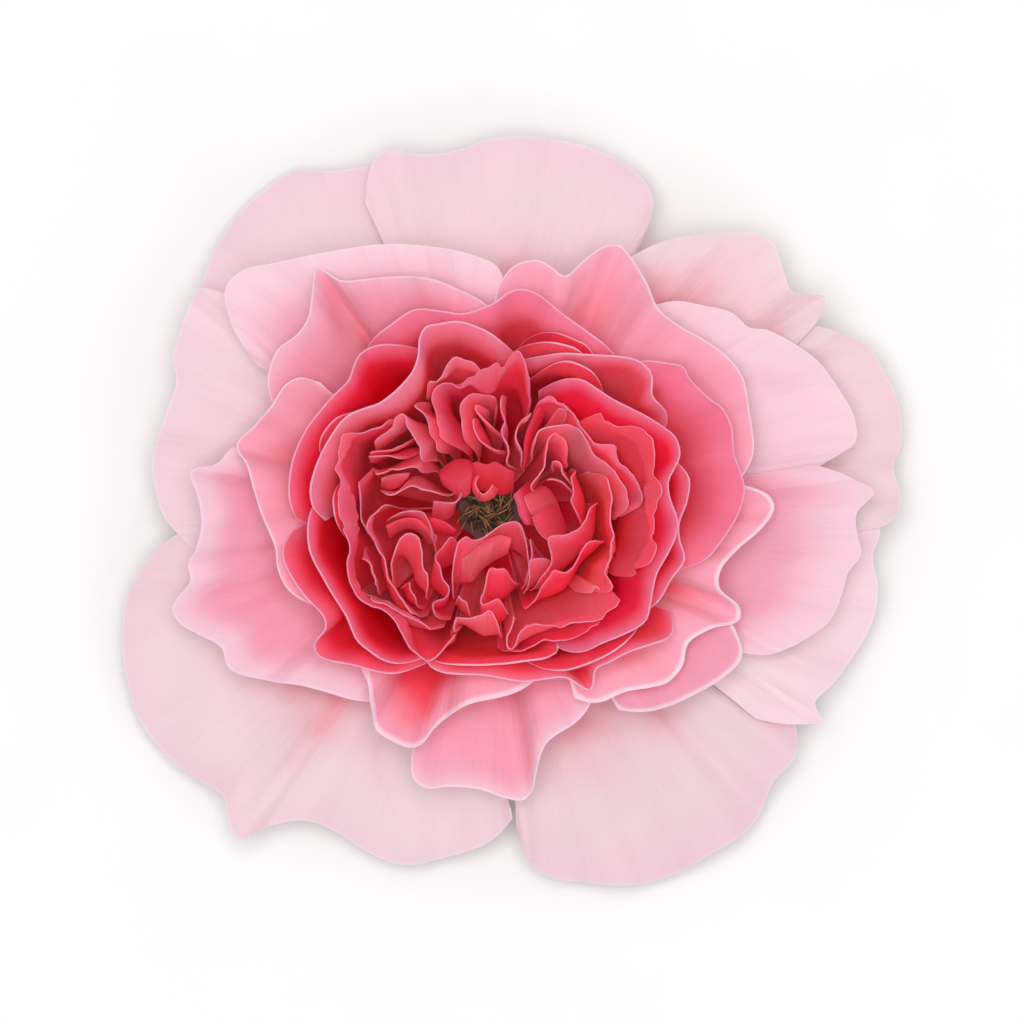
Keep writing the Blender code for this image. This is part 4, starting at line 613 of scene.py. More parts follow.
def fold_sheet(knots, along, across, seed):
    """Mid-surface of a petal of the heart. All follow one law of lean, so neighbours keep their order."""
    rim, _ = knot_curve(knots, along)
    mark = rim[:, :2].copy()
    for _ in range(40):
        scale, sway = heart_law(mark, rim[:, 2])
        mark = 0.5 * mark + 0.5 * (rim[:, :2] - sway[:, None] * lean_at(mark)) / scale[:, None]
    levels = np.linspace(FOOT_Z, TIP_Z, 200)
    clear = np.linalg.norm(mark, axis=1)[:, None] * kept_share(levels)[None, :] > STAMEN_CLEAR
    foot = np.where(clear.any(axis=1), levels[np.argmax(clear, axis=1)], TIP_Z)
    foot = np.minimum(np.maximum(foot, FOLD_FOOT_Z), rim[:, 2] - FOLD_LEAST)
    s = run_length(rim)
    ahead = np.gradient(mark, axis=0)
    ahead_long = np.maximum(np.linalg.norm(ahead, axis=1), 1e-6)[:, None]
    side = np.stack([-ahead[:, 1], ahead[:, 0]], 1) / ahead_long
    ends = np.clip(from_ends(s) / FOLD_END, 0, 1)
    flutter = ends * FLUTTER * wave(s, seed, FLUTTER_LONG)
    top = rim[:, 2] + ends * CREST * wave(s, seed + 3, CREST_LONG) - end_dip(s, "heart")
    v = 1 - (1 - np.linspace(0, 1, across + 1)[None, :]) ** 1.4
    z = foot[:, None] + (top - foot)[:, None] * v
    near_rim = np.exp((z - top[:, None]) / FLUTTER_DEPTH)
    spot = mark[:, None, :] + side[:, None, :] * (flutter[:, None] * near_rim)[..., None]
    scale, sway = heart_law(spot, z)
    plan = spot * scale[..., None] + sway[..., None] * lean_at(mark)[:, None, :]
    rolled = np.clip(1 - (top[:, None] - z) / FOLD_LIP_WIDE, 0, 1) ** 2
    out = rim[:, None, :2] / np.linalg.norm(rim[:, None, :2], axis=-1, keepdims=True)
    plan = plan + out * (FOLD_LIP_OUT * rolled)[..., None]
    return np.concatenate([plan, z[..., None]], -1)


def lobe_sheet(front, back, bulge, along, across):
    """A lobe or a face drawn between two edges, arched between them."""
    v = np.linspace(0, 1, across + 1)[None, :, None]
    grid = knot_curve(back, along)[0][:, None] * (1 - v) + knot_curve(front, along)[0][:, None] * v
    u = np.linspace(-1, 1, along + 1)[:, None]
    crumple = 1 + LOBE_CRUMPLE * wave(run_length(grid[:, -1])[:, None], bulge, LOBE_CRUMPLE_LONG)
    grid[..., 2] += bulge * crumple * 4 * (v * (1 - v))[..., 0] ** 0.8 - LOBE_SIDE * np.abs(u) ** 3
    return grid


# ---- keeping petals apart

def refined(grid):
    """A grid sampled twice as finely: the four corners of each sample, and their weights."""
    nu, nv = grid.shape[0] - 1, grid.shape[1] - 1
    a = np.linspace(0, 1, 3)
    s, t = (q.ravel() for q in np.meshgrid(a, a, indexing="ij"))
    w = np.array([(1 - s) * (1 - t), s * (1 - t), (1 - s) * t, s * t])
    i, j = (q.ravel() for q in np.meshgrid(np.arange(nu), np.arange(nv), indexing="ij"))
    first = i * (nv + 1) + j
    corner = np.stack([first, first + nv + 1, first + 1, first + nv + 2])
    index = np.repeat(corner[:, :, None], w.shape[1], axis=2).reshape(4, -1)
    weight = np.tile(w[:, None, :], (1, corner.shape[1], 1)).reshape(4, -1)
    return index, weight


def sampled(p, index, weight):
    """Places of the fine samples of a grid's points."""
    return (p[index] * weight[..., None]).sum(0)


def neighbour_mean(field):
    """Each value of a grid replaced by the mean of the four round it."""
    pad = np.pad(field, ((1, 1), (1, 1)) + ((0, 0),) * (field.ndim - 2), mode="edge")
    return (pad[:-2, 1:-1] + pad[2:, 1:-1] + pad[1:-1, :-2] + pad[1:-1, 2:]) / 4


def spherical(p):
    """Azimuth, distance and tilt of points, seen from the focus."""
    q = p - np.array([0, 0, FOCUS_Z])
    flat = np.hypot(q[:, 0], q[:, 1])
    return np.arctan2(q[:, 1], q[:, 0]), np.hypot(flat, q[:, 2]), np.arctan2(q[:, 2], flat)


def lift(p, by):
    """Swings points up around the focus, towards the axis, by an arc length."""
    az, reach, tilt = spherical(p)
    tilt = tilt + by / reach
    flat = reach * np.cos(tilt)
    return np.stack([flat * np.cos(az), flat * np.sin(az), FOCUS_Z + reach * np.sin(tilt)], 1)


def cells(p):
    """The cell of the pile that each point stands over, with its distance and tilt."""
    az, reach, tilt = spherical(p)
    i = np.floor(az / (2 * math.pi) * AZ_CELLS).astype(int) % AZ_CELLS
    j = np.clip((reach / REACH_CELL).astype(int), 0, REACH_CELLS - 1)
    return i, j, reach, tilt


def settle(grid, pile, room):
    """Raises a petal just clear of everything already in the pile, then adds it to the pile."""
    shape = grid.shape
    p = grid.reshape(-1, 3)
    index, weight = refined(grid)
    for _ in range(SETTLE_ROUNDS):
        i, j, reach, tilt = cells(sampled(p, index, weight))
        short = (pile[i, j] - tilt) * reach + room
        short = np.where(pile[i, j] > EMPTY + 1, np.clip(short, 0, None), 0)
        if short.max() < SETTLE_DONE:
            break
        need = np.zeros(len(p))
        for c in range(4):
            np.maximum.at(need, index[c], np.where(weight[c] > 0.15, short, 0))
        spread = need.reshape(shape[:2])
        soft = spread
        for _ in range(SETTLE_SOFTEN):
            soft = neighbour_mean(soft)
        p = lift(p, np.maximum(spread * 0.9, soft).ravel())
    i, j, _, tilt = cells(sampled(p, index, weight))
    for di in (-1, 0, 1):
        for dj in (-1, 0, 1):
            np.maximum.at(pile, ((i + di) % AZ_CELLS, np.clip(j + dj, 0, REACH_CELLS - 1)), tilt)
    return p.reshape(shape)


def reach_map(grids, start, pick):
    """Smallest or largest plan radius of some sheets, by azimuth and level."""
    found = np.full((LIMIT_AZ, LIMIT_Z), start)
    for grid in grids:
        p = sampled(grid.reshape(-1, 3), *refined(grid))
        p = p[p[:, 2] > FOOT_Z]
        i = np.floor(np.arctan2(p[:, 1], p[:, 0]) / (2 * math.pi) * LIMIT_AZ).astype(int) % LIMIT_AZ
        j = np.clip(((p[:, 2] - FOOT_Z) / LIMIT_STEP).astype(int), 0, LIMIT_Z - 1)
        pick.at(found, (i, j), np.hypot(p[:, 0], p[:, 1]))
    return found


def smooth_map(found, pick):
    """Takes each cell's neighbours in azimuth into account, then rounds the map off."""
    found = pick.reduce([np.roll(found, 1, 0), found, np.roll(found, -1, 0)])
    for _ in range(2):
        wide = np.pad(found, ((0, 0), (1, 1)), mode="edge")
        found = (np.roll(found, 1, 0) + np.roll(found, -1, 0) + 2 * found + wide[:, 2:] + wide[:, :-2]) / 6
    return found


def read_map(found, p):
    """Value of a map at each point, blended between its cells."""
    a = (np.arctan2(p[:, 1], p[:, 0]) / (2 * math.pi) * LIMIT_AZ - 0.5) % LIMIT_AZ
    b = np.clip((p[:, 2] - FOOT_Z) / LIMIT_STEP - 0.5, 0, LIMIT_Z - 1.001)
    i, j = a.astype(int), b.astype(int)
    a, b = a - i, b - j
    i %= LIMIT_AZ
    k = (i + 1) % LIMIT_AZ
    low = found[i, j] * (1 - a) + found[k, j] * a
    high = found[i, j + 1] * (1 - a) + found[k, j + 1] * a
    return low * (1 - b) + high * b


def fitted_inside(outer, inner):
    """Draws the inner sheets in until they fit inside the outer ones; what lies near the axis stays."""
    room = smooth_map(reach_map(outer, 40.0, np.minimum) - LIMIT_ROOM, np.minimum)
    reach = smooth_map(np.maximum(reach_map(inner.values(), 1.0, np.maximum), room), np.maximum)
    moved = {}
    for name, grid in inner.items():
        p = grid.reshape(-1, 3).copy()
        r = np.hypot(p[:, 0], p[:, 1])
        limit, most = read_map(room, p), read_map(reach, p)
        still = KEPT_INSIDE * limit
        drawn = still + (r - still) * (limit - still) / np.maximum(most - still, 0.1)
        drawn = np.where(r > still, drawn, r)
        drawn = np.where(drawn > limit, limit + OVERHANG_KEPT * (drawn - limit), drawn)
        p[:, :2] *= (np.minimum(drawn, r) / np.maximum(r, 0.01))[:, None]
        moved[name] = p.reshape(grid.shape)
    return moved


def tree_of(grid):
    """A search tree of a grid's cells, for finding the nearest place on it."""
    nu, nv = grid.shape[0] - 1, grid.shape[1] - 1
    quads = [(i * (nv + 1) + j, (i + 1) * (nv + 1) + j, (i + 1) * (nv + 1) + j + 1, i * (nv + 1) + j + 1)
             for i in range(nu) for j in range(nv)]
    return BVHTree.FromPolygons([Vector(c) for c in grid.reshape(-1, 3)], quads)


def boxes_part(a, b, room):
    """Whether two boxes stand more than a room apart."""
    return (a[0] > b[1] + room).any() or (b[0] > a[1] + room).any()


def ease_apart(sheets, movers, room):
    """Pushes the movers away from every other mid-surface, towards having room between them."""
    for _ in range(EASE_ROUNDS):
        trees = {n: tree_of(sheet) for n, sheet in sheets.items()}
        box = {n: (sheet.reshape(-1, 3).min(0), sheet.reshape(-1, 3).max(0)) for n, sheet in sheets.items()}
        worst = 0.0
        moved = {}
        for n in movers:
            p = sheets[n].reshape(-1, 3)
            step = np.zeros_like(p)
            for m in sheets:
                if m == n or boxes_part(box[n], box[m], room):
                    continue
                near = ((p > box[m][0] - room) & (p < box[m][1] + room)).all(1)
                for k in np.nonzero(near)[0]:
                    spot, _, _, away = trees[m].find_nearest(Vector(p[k]), room)
                    if spot is None or away < 1e-6:
                        continue
                    worst = max(worst, room - away)
                    step[k] += (p[k] - np.array(spot)) * ((room - away) / away * EASE_STEP)
            step = step.reshape(sheets[n].shape)
            moved[n] = sheets[n] + 0.6 * step + 0.4 * neighbour_mean(step)
        sheets.update(moved)
        if worst < EASE_DONE:
            break


# ---- making petals

def clear_selection():
    if bpy.context.object and bpy.context.object.mode != "OBJECT":
        bpy.ops.object.mode_set(mode="OBJECT")
    bpy.ops.object.select_all(action="DESELECT")


def placed(name, data):
    """A new object in the scene that holds a mesh, lamp or camera."""
    obj = bpy.data.objects.new(name, data)
    bpy.context.scene.collection.objects.link(obj)
    return obj


def declared(piece, slot):
    """A finished piece rides on the flower's one body and takes its finish from a slot."""
    piece.data.materials.clear()
    piece.data.materials.append(FINISH[slot])
    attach(piece, "root")


def edge_distance(grid):
    """Distance in millimetres from each point to the nearest free edge of the petal, and to its rim."""
    dv = np.linalg.norm(np.diff(grid, axis=1), axis=-1)
    to_rim = np.concatenate([np.cumsum(dv[:, ::-1], axis=1)[:, ::-1], np.zeros((len(grid), 1))], axis=1)
    du = np.linalg.norm(np.diff(grid, axis=0), axis=-1)
    zero = np.zeros((1, grid.shape[1]))
    from_start = np.concatenate([zero, np.cumsum(du, axis=0)], axis=0)
    to_end = np.concatenate([np.cumsum(du[::-1], axis=0)[::-1], zero], axis=0)
    return np.minimum(to_rim, np.minimum(from_start, to_end)), to_rim


def painted_distances(name, grid):
    """The two distances that the finish paints by: from the free edge, and from the rim."""
    near_edge, to_rim = edge_distance(grid)
    if name in LOBES:
        near_edge = to_rim
    if name in FACES:
        near_edge = near_edge + EDGE_HIDDEN
    # the rim distance sets where the deep colour comes on, which is partly the petal's blush and partly
    # painted shade
    start, gain = BLUSH_AND_SHADE.get(name, BLUSH_AND_SHADE.get(name.split("_")[0], BLUSH_AND_SHADE["heart"]))
    return near_edge * BROAD_LIP.get(name, 1), start + gain * to_rim


def petal_piece(name, grid, thick, slot, tone):
    """A petal from a flat grid: its corners go to the shaped sheet, and Solidify gives it a body."""
    clear_selection()
    nu, nv = grid.shape[0] - 1, grid.shape[1] - 1
    bpy.ops.mesh.primitive_grid_add(x_subdivisions=nu, y_subdivisions=nv, size=1, calc_uvs=True)
    obj = bpy.context.object
    obj.name = obj.data.name = name
    mesh = obj.data
    flat = np.empty(len(mesh.vertices) * 3)
    mesh.vertices.foreach_get("co", flat)
    flat = flat.reshape(-1, 3)
    i = np.rint((flat[:, 0] + 0.5) * nu).astype(int)
    j = np.rint((flat[:, 1] + 0.5) * nv).astype(int)
    place = grid[i, j] * MM
    place[:, 0] += AXIS_SHIFT[0] * MM
    place[:, 1] += AXIS_SHIFT[1] * MM
    mesh.vertices.foreach_set("co", place.ravel())
    near_edge, blush_and_shade = painted_distances(name, grid)
    tones = np.full(near_edge.shape, tone)
    for label, values in (("edge_mm", near_edge), ("rim_mm", blush_and_shade), ("tone", tones)):
        layer = mesh.attributes.new(label, "FLOAT", "POINT")
        layer.data.foreach_set("value", values[i, j].astype(np.float32))
    mesh.update()
    solid = obj.modifiers.new("body", "SOLIDIFY")
    solid.thickness, solid.offset, solid.use_even_offset = thick * MM, 0, False
    bpy.ops.object.modifier_apply(modifier=solid.name)
    bpy.ops.object.shade_smooth_by_angle(angle=math.radians(50))
    declared(obj, slot)
    if name in PETALS or name in FOLDS:
        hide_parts(name)
    return obj


# ---- parts of a finish

def tint(r, g, b):
    """Linear colour from the written sRGB values 0 to 255."""
    def linear(c):
        return ((c / 255 + 0.055) / 1.055) ** 2.4 if c > 10 else c / 255 / 12.92
    return (linear(r), linear(g), linear(b), 1.0)


def new_material(name):
    """A material with its nodes, its links and its skin, the Principled shader."""
    material = bpy.data.materials.new(name)
    material.use_nodes = True
    n, l = material.node_tree.nodes, material.node_tree.links
    return material, n, l, n["Principled BSDF"]


def new_group(name, inputs, outputs):
    group = bpy.data.node_groups.new(name, "ShaderNodeTree")
    for label, kind, value in inputs:
        socket = group.interface.new_socket(label, in_out="INPUT", socket_type=kind)
        socket.default_value = value
    for label, kind in outputs:
        group.interface.new_socket(label, in_out="OUTPUT", socket_type=kind)
    return group, group.nodes.new("NodeGroupInput"), group.nodes.new("NodeGroupOutput")


def feed(links, socket, value):
    """Links a socket to another node's output, or sets it to a plain value."""
    if hasattr(value, "is_output"):
        links.new(value, socket)
    else:
        socket.default_value = value


def between(nodes, links, value, low, high):
    """A smooth 0 to 1 ramp of a value between two limits; either limit may be a socket."""
    ramp = nodes.new("ShaderNodeMapRange")
    ramp.interpolation_type = "SMOOTHERSTEP"
    for label, source in (("Value", value), ("From Min", low), ("From Max", high)):
        feed(links, ramp.inputs[label], source)
    return ramp.outputs["Result"]


def blend_colour(nodes, links, factor, a, b):
    """Colour a where the factor is 0, and b where it is 1."""
    mix = nodes.new("ShaderNodeMix")
    mix.data_type = "RGBA"
    for socket, value in ((0, factor), (6, a), (7, b)):
        feed(links, mix.inputs[socket], value)
    return mix.outputs[2]


def math_node(nodes, links, how, *values, clamp=False):
    node = nodes.new("ShaderNodeMath")
    node.operation, node.use_clamp = how, clamp
    for socket, value in zip(node.inputs, values):
        feed(links, socket, value)
    return node.outputs[0]


def noise(nodes, links, where, scale, detail):
    node = nodes.new("ShaderNodeTexNoise")
    node.inputs["Scale"].default_value = scale
    node.inputs["Detail"].default_value = detail
    links.new(where, node.inputs["Vector"])
    return node.outputs["Fac"]


def relief(nodes, links, height, strength, skin):
    """Fine relief on the normal of a skin."""
    bump = nodes.new("ShaderNodeBump")
    bump.inputs["Strength"].default_value = strength
    bump.inputs["Distance"].default_value = RELIEF_DEPTH
    links.new(height, bump.inputs["Height"])
    links.new(bump.outputs["Normal"], skin.inputs["Normal"])


# ---- finishes of the petals

def petal_tint_group():
    """Colour of a petal from its pale thin edge, partly a painted highlight, through margin and body, to its
    deep colour, partly its blush at the claw and partly painted shade down between the petals.
    """
    white = (1, 1, 1, 1)
    group, give, take = new_group("Petal tint", [
        ("Rim distance", "NodeSocketFloat", 5.0), ("Edge distance", "NodeSocketFloat", 5.0),
        ("Tone", "NodeSocketFloat", 0.5), ("Patch", "NodeSocketFloat", 0.5),
        ("Edge", "NodeSocketColor", white), ("Margin", "NodeSocketColor", white),
        ("Body", "NodeSocketColor", white), ("Depth", "NodeSocketColor", white),
        ("Edge width", "NodeSocketFloat", 0.5), ("Margin width", "NodeSocketFloat", 6.0),
        ("Depth start", "NodeSocketFloat", 10.0), ("Depth end", "NodeSocketFloat", 25.0)],
        [("Colour", "NodeSocketColor")])
    n, l = group.nodes, group.links
    given = give.outputs
    sway = math_node(n, l, "MULTIPLY_ADD", given["Patch"], 0.9, 0.55)
    reach = math_node(n, l, "MULTIPLY", given["Rim distance"], sway)
    to_body = between(n, l, reach, 0.0, given["Margin width"])
    # deep colour: partly the petal's blush, partly painted shade down between the petals
    to_depth = between(n, l, reach, given["Depth start"], given["Depth end"])
    colour = blend_colour(n, l, to_body, given["Margin"], given["Body"])
    colour = blend_colour(n, l, to_depth, colour, given["Depth"])
    # the pale thin edge is partly the petal's paler rim and partly a painted highlight where the rim catches
    # the light
    edge_share = math_node(n, l, "DIVIDE", given["Edge distance"], given["Edge width"])
    on_edge = between(n, l, edge_share, 1.0, 0.2)
    colour = blend_colour(n, l, on_edge, colour, given["Edge"])
    shade = n.new("ShaderNodeHueSaturation")
    l.new(colour, shade.inputs["Color"])
    l.new(math_node(n, l, "MULTIPLY_ADD", given["Tone"], 0.1, 0.95), shade.inputs["Value"])
    l.new(math_node(n, l, "MULTIPLY_ADD", given["Tone"], -0.08, 1.02), shade.inputs["Saturation"])
    l.new(shade.outputs["Color"], take.inputs["Colour"])
    return group


def petal_veins_group():
    """Fine veins that fan from claw to rim, with faint cross cells between them."""
    group, give, take = new_group("Petal veins", [
        ("Along", "NodeSocketFloat", 0.5), ("Across", "NodeSocketFloat", 0.5),
        ("Count", "NodeSocketFloat", 40.0)],
        [("Height", "NodeSocketFloat"), ("Mask", "NodeSocketFloat")])
    n, l = group.nodes, group.links
    where = n.new("ShaderNodeCombineXYZ")
    l.new(math_node(n, l, "MULTIPLY", give.outputs["Along"], give.outputs["Count"]), where.inputs["X"])
    l.new(math_node(n, l, "MULTIPLY", give.outputs["Across"], 3.0), where.inputs["Y"])
    grain = noise(n, l, where.outputs[0], 1.0, 4.0)
    l.new(between(n, l, grain, 0.3, 0.7), take.inputs["Height"])
    l.new(between(n, l, grain, 0.52, 0.7), take.inputs["Mask"])
    return group


def petal_finish(name, colours, widths, veins, light_through, sheen):
    """A petal's finish; colours and widths run from its edge through margin and body to its depth."""
    material, n, l, skin = new_material(name)
    uv = n.new("ShaderNodeUVMap")
    uv.uv_map = "UVMap"
    split = n.new("ShaderNodeSeparateXYZ")
    l.new(uv.outputs["UV"], split.inputs[0])
    place = n.new("ShaderNodeTexCoord")
    colour_of = n.new("ShaderNodeGroup")
    colour_of.node_tree = PETAL_TINT
    for label, socket in (("rim_mm", "Rim distance"), ("edge_mm", "Edge distance"), ("tone", "Tone")):
        layer = n.new("ShaderNodeAttribute")
        layer.attribute_name = label
        l.new(layer.outputs["Fac"], colour_of.inputs[socket])
    l.new(noise(n, l, place.outputs["Object"], 90.0, 3.0), colour_of.inputs["Patch"])
    labels = ("Edge", "Margin", "Body", "Depth", "Edge width", "Margin width", "Depth start", "Depth end")
    for label, value in zip(labels, (*colours, *widths)):
        colour_of.inputs[label].default_value = value
    vein = n.new("ShaderNodeGroup")
    vein.node_tree = PETAL_VEINS
    l.new(split.outputs["X"], vein.inputs["Along"])
    l.new(split.outputs["Y"], vein.inputs["Across"])
    vein.inputs["Count"].default_value = veins
    streak = math_node(n, l, "MULTIPLY", vein.outputs["Mask"], 0.05)
    l.new(blend_colour(n, l, streak, colour_of.outputs["Colour"], colours[-1]), skin.inputs["Base Color"])
    relief(n, l, vein.outputs["Height"], 0.25, skin)
    skin.inputs["Roughness"].default_value = 0.62
    skin.inputs["Specular IOR Level"].default_value = 0.14
    skin.inputs["Subsurface Weight"].default_value = light_through
    skin.inputs["Subsurface Radius"].default_value = (1.0, 0.35, 0.38)
    skin.inputs["Subsurface Scale"].default_value = 0.0022
    skin.inputs["Sheen Weight"].default_value = sheen
    skin.inputs["Sheen Roughness"].default_value = 0.5
    return material


def mottled_finish(name, colour, dark, scale, rough, above=None):
    """A mottled matt finish; above is a height and the colour that the piece takes from there up."""
    material, n, l, skin = new_material(name)
    place = n.new("ShaderNodeTexCoord")
    grain = noise(n, l, place.outputs["Object"], scale, 5.0)
    tone = blend_colour(n, l, between(n, l, grain, 0.35, 0.65), colour, dark)
    if above:
        level, upper = above
        split = n.new("ShaderNodeSeparateXYZ")
        l.new(place.outputs["Object"], split.inputs[0])
        tone = blend_colour(n, l, between(n, l, split.outputs["Z"], level - 0.5 * MM, level), tone, upper)
    l.new(tone, skin.inputs["Base Color"])
    relief(n, l, grain, 0.4, skin)
    skin.inputs["Roughness"].default_value = rough
    return material


PETAL_TINT = petal_tint_group()
PETAL_VEINS = petal_veins_group()
HIP_TOP = 15 * MM  # the hip turns from green to dull red here, under the stamens
# each petal finish runs edge, margin, body, depth: the edge is partly a painted highlight, the depth partly
# painted shade
FINISH = {
    "guard_petal": petal_finish(
        "Pale guard petal",
        (tint(251, 226, 234), tint(250, 210, 221), tint(250, 217, 222), tint(250, 146, 158)),
        (0.3, 12.0, 12.0, 38.0), 46, 0.3, 0.1),
    "middle_petal": petal_finish(
        "Mid pink petal",
        (tint(252, 212, 228), tint(250, 202, 217), tint(247, 163, 183), tint(248, 74, 96)),
        (0.3, 6.0, 8.0, 24.0), 40, 0.3, 0.1),
    "cup_petal": petal_finish(
        "Cup petal",
        (tint(251, 152, 182), tint(250, 122, 150), tint(248, 50, 76), tint(238, 14, 34)),
        (0.22, 3.4, 2.5, 11.0), 34, 0.8, 0.0),
    "heart_petal": petal_finish(
        "Heart petal",
        (tint(252, 120, 148), tint(254, 108, 134), tint(255, 64, 86), tint(255, 10, 32)),
        (0.12, 2.2, 2.5, 10.0), 26, 0.9, 0.0),
    "green_calyx": mottled_finish(
        "Green calyx", tint(104, 128, 62), tint(74, 98, 46), 260, 0.6, (HIP_TOP, tint(86, 34, 26))),
    "stamens": mottled_finish("Stamens", tint(150, 118, 74), tint(84, 62, 34), 500, 0.7),
}


# ---- stamens

STAMEN_RINGS = ((3.1, 34, 6.4), (2.3, 26, 7.4), (1.2, 14, 8.0))  # ring radius, how many, length
STAMEN_FOOT = 17.9
# steps that draw one filament up: how far out, how far up, and the scale of its end
STAMEN_STEPS = (
    (0.0, 0.3, 0.8), (0.1, 0.3, 0.9), (0.25, 0.22, 0.8), (0.02, 0.03, 3.0), (0.05, 0.1, 0.9),
    (0.0, 0.05, 0.4),
)


def stamen():
    """One filament drawn up from a small disc, arched, with a swollen anther at its end."""
    clear_selection()
    bpy.ops.mesh.primitive_circle_add(vertices=6, radius=0.13 * MM, fill_type="NGON", location=(0, 0, 0))
    bpy.ops.object.mode_set(mode="EDIT")
    bpy.ops.mesh.select_all(action="SELECT")
    for out, up, scale in STAMEN_STEPS:
        bpy.ops.mesh.extrude_region_move(TRANSFORM_OT_translate={"value": (out * MM, 0, up * MM)})
        bpy.ops.transform.resize(value=(scale, scale, scale))
    bpy.ops.mesh.select_all(action="SELECT")
    bpy.ops.mesh.normals_make_consistent(inside=False)
    bpy.ops.object.mode_set(mode="OBJECT")
    return bpy.context.object


def stamens_piece():
    """The ring of stamens round a tuft of styles, each a copy of one, turned and leaned its own way."""
    model = stamen()
    copies = []
    for ring, (radius, count, length) in enumerate(STAMEN_RINGS):
        for k in range(count):
            a = 2 * math.pi * (k + 0.5 * ring) / count + 0.2 * math.sin(5 * k + ring)
            r = radius * (1 + 0.12 * math.sin(3.7 * k))
            x, y = AXIS_SHIFT[0] + r * math.cos(a), AXIS_SHIFT[1] + r * math.sin(a)
            bend = length * (0.7 + 0.3 * math.sin(2.3 * k))
            tall = length * (0.9 + 0.1 * math.sin(1.9 * k + ring))
            one = placed("stamen copy", model.data.copy())
            one.location = (x * MM, y * MM, STAMEN_FOOT * MM)
            one.scale = (bend, 1, tall)
            one.rotation_euler = (0, 0, a + 2.2 + 0.9 * math.sin(4.1 * k))
            copies.append(one)
    bpy.data.objects.remove(model)
    clear_selection()
    for one in copies:
        one.select_set(True)
    bpy.context.view_layer.objects.active = copies[0]
    bpy.ops.object.transform_apply(location=True, rotation=True, scale=True)
    bpy.ops.object.join()
    piece = bpy.context.object
    piece.name = piece.data.name = "stamens_and_tuft"
    bpy.ops.object.shade_smooth_by_angle(angle=math.radians(60))
    declared(piece, "stamens")
    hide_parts("stamens_and_styles")


# ---- the flower

def pieces_along(knots, part):
    """How many pieces of mesh there are along a rim."""
    length, fewest, most = SHEET_ALONG[part]
    return int(np.clip(knot_curve(knots, 40)[1] / length, fewest, most))


def ring_sheets():
    """The outer rings, settled one on another from the outside in. A rim petal follows its own petal."""
    pile = np.full((AZ_CELLS, REACH_CELLS), EMPTY)
    rows = []
    for name, row in PETALS.items():
        rows.append((name, row))
        rows += [(rim, inner) for rim, (outer, inner) in RIM_PETALS.items() if outer == name]
    sheets = {}
    for seed, (name, row) in enumerate(rows):
        ring, knots = row[0], row[5]
        along = pieces_along([polar(*k) for k in knots], "ring")
        roll = ROLL.get(name, LIP_OUT if ring == 2 else OUTER_ROLL * LIP_OUT)
        kind = "rim" if name in RIM_PETALS else ring
        shoulder = SHOULDER.get(name, SHOULDER[kind])
        sheet = petal_sheet(row, along, SHEET_ACROSS["ring"], seed, roll, kind, shoulder)
        sheets[name] = settle(sheet, pile, PETAL_THICK + GAP)
    return sheets


def shape_petals():
    """Every sheet of the flower, in the order in which the pieces are made."""
    sheets = ring_sheets()
    walls, folds = {}, {}
    for seed, (name, knots) in enumerate((FOLDS | PETALOIDS).items()):
        is_wall = name.startswith("wall") and name != "wall_inner_right"
        group = walls if is_wall else folds
        group[name] = fold_sheet(knots, pieces_along(knots, "heart"), SHEET_ACROSS["heart"], seed)
    sheets.update(fitted_inside(sheets.values(), walls))
    sheets.update(fitted_inside(sheets.values(), folds))
    lobes = {name: lobe_sheet(*row, *LOBE_MESH) for name, row in (LOBES | FACES).items()}
    sheets.update(lobes)
    ease_apart(sheets, [*walls, *folds, *lobes], PETAL_THICK + HEART_GAP)
    return sheets


def slot_of(name):
    """A ring's own slot for its petals, the cup's for rim petals, and the heart's for all the rest."""
    if name in PETALS:
        return {"guard": "guard_petal", "mid": "middle_petal", "cup": "cup_petal"}[name.split("_")[0]]
    return "cup_petal" if name in RIM_PETALS else "heart_petal"


def build_flower():
    for k, (name, grid) in enumerate(shape_petals().items()):
        slot = slot_of(name)
        thick = FOLD_THICK if slot == "heart_petal" else PETAL_THICK
        petal_piece(name, grid, thick, slot, (k * TONE_STEP) % 1)
    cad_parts["calyx_hip_and_stem"].material_slots[0].material = FINISH["green_calyx"]
    stamens_piece()


# ---- the table, the room, the lamps and the camera

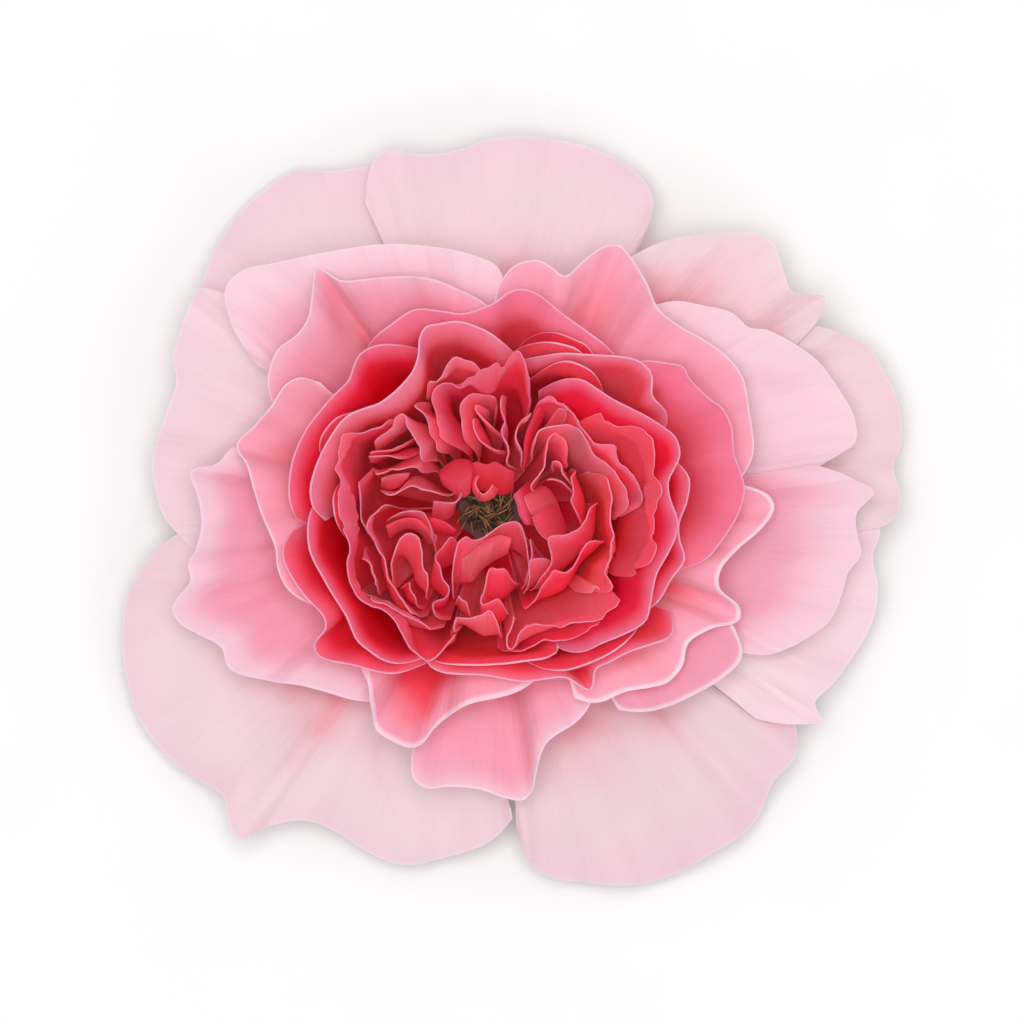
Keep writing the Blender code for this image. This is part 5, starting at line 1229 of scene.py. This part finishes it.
def build_table():
    clear_selection()
    bpy.ops.mesh.primitive_plane_add(size=TABLE_SIZE, location=(0, 0, 0))
    floor = bpy.context.object
    floor.name = "floor"
    material, n, l, skin = new_material("White table")
    skin.inputs["Roughness"].default_value = 0.9
    skin.inputs["Specular IOR Level"].default_value = 0.1
    place = n.new("ShaderNodeTexCoord")
    grain = noise(n, l, place.outputs["Object"], 40, 2.0)
    l.new(blend_colour(n, l, grain, tint(250, 250, 250), tint(255, 255, 255)), skin.inputs["Base Color"])
    floor.data.materials.append(material)


def build_room():
    """A soft room that lights the flower at one strength and is seen as white."""
    world = bpy.data.worlds.new("Soft room")
    bpy.context.scene.world = world
    world.use_nodes = True
    n, l = world.node_tree.nodes, world.node_tree.links
    n["Background"].inputs["Color"].default_value = (1, 1, 1, 1)
    sight = n.new("ShaderNodeLightPath")
    seen = math_node(n, l, "ADD", sight.outputs["Is Glossy Ray"], sight.outputs["Is Transmission Ray"])
    seen = math_node(n, l, "ADD", sight.outputs["Is Camera Ray"], seen, clamp=True)
    strength = math_node(n, l, "MULTIPLY_ADD", seen, ROOM_SEEN - ROOM_LIGHT, ROOM_LIGHT)
    l.new(strength, n["Background"].inputs["Strength"])


def build_lamps():
    for name, place, size, power in LAMPS:
        lamp = bpy.data.lights.new(name, "AREA")
        lamp.size, lamp.energy = size, power
        obj = placed(name, lamp)
        obj.location = place
        obj.rotation_euler = (LAMP_AIM - Vector(place)).to_track_quat("-Z", "Y").to_euler()
    lamp = bpy.data.lights.new("heart light", "SPOT")
    lamp.energy, lamp.shadow_soft_size = HEART_LIGHT_POWER, HEART_LIGHT_SOFT
    lamp.spot_size = 2 * math.atan(HEART_LIGHT_REACH / HEART_LIGHT_HEIGHT)
    lamp.spot_blend = HEART_LIGHT_BLEND
    placed("heart light", lamp).location = (AXIS_SHIFT[0] * MM, AXIS_SHIFT[1] * MM, HEART_LIGHT_HEIGHT)


def build_camera():
    camera = bpy.data.cameras.new("camera")
    camera.sensor_width = SENSOR
    camera.lens = SENSOR * CAMERA_DISTANCE / CAMERA_WIDE
    camera.clip_start, camera.clip_end = 0.05, 10
    view = placed("camera", camera)
    view.location = (0.0, 0.0, CAMERA_AIM_Z + CAMERA_DISTANCE)
    bpy.context.scene.camera = view
    bpy.context.scene.view_settings.view_transform = "Standard"


build_flower()
build_table()
build_room()
build_lamps()
build_camera()
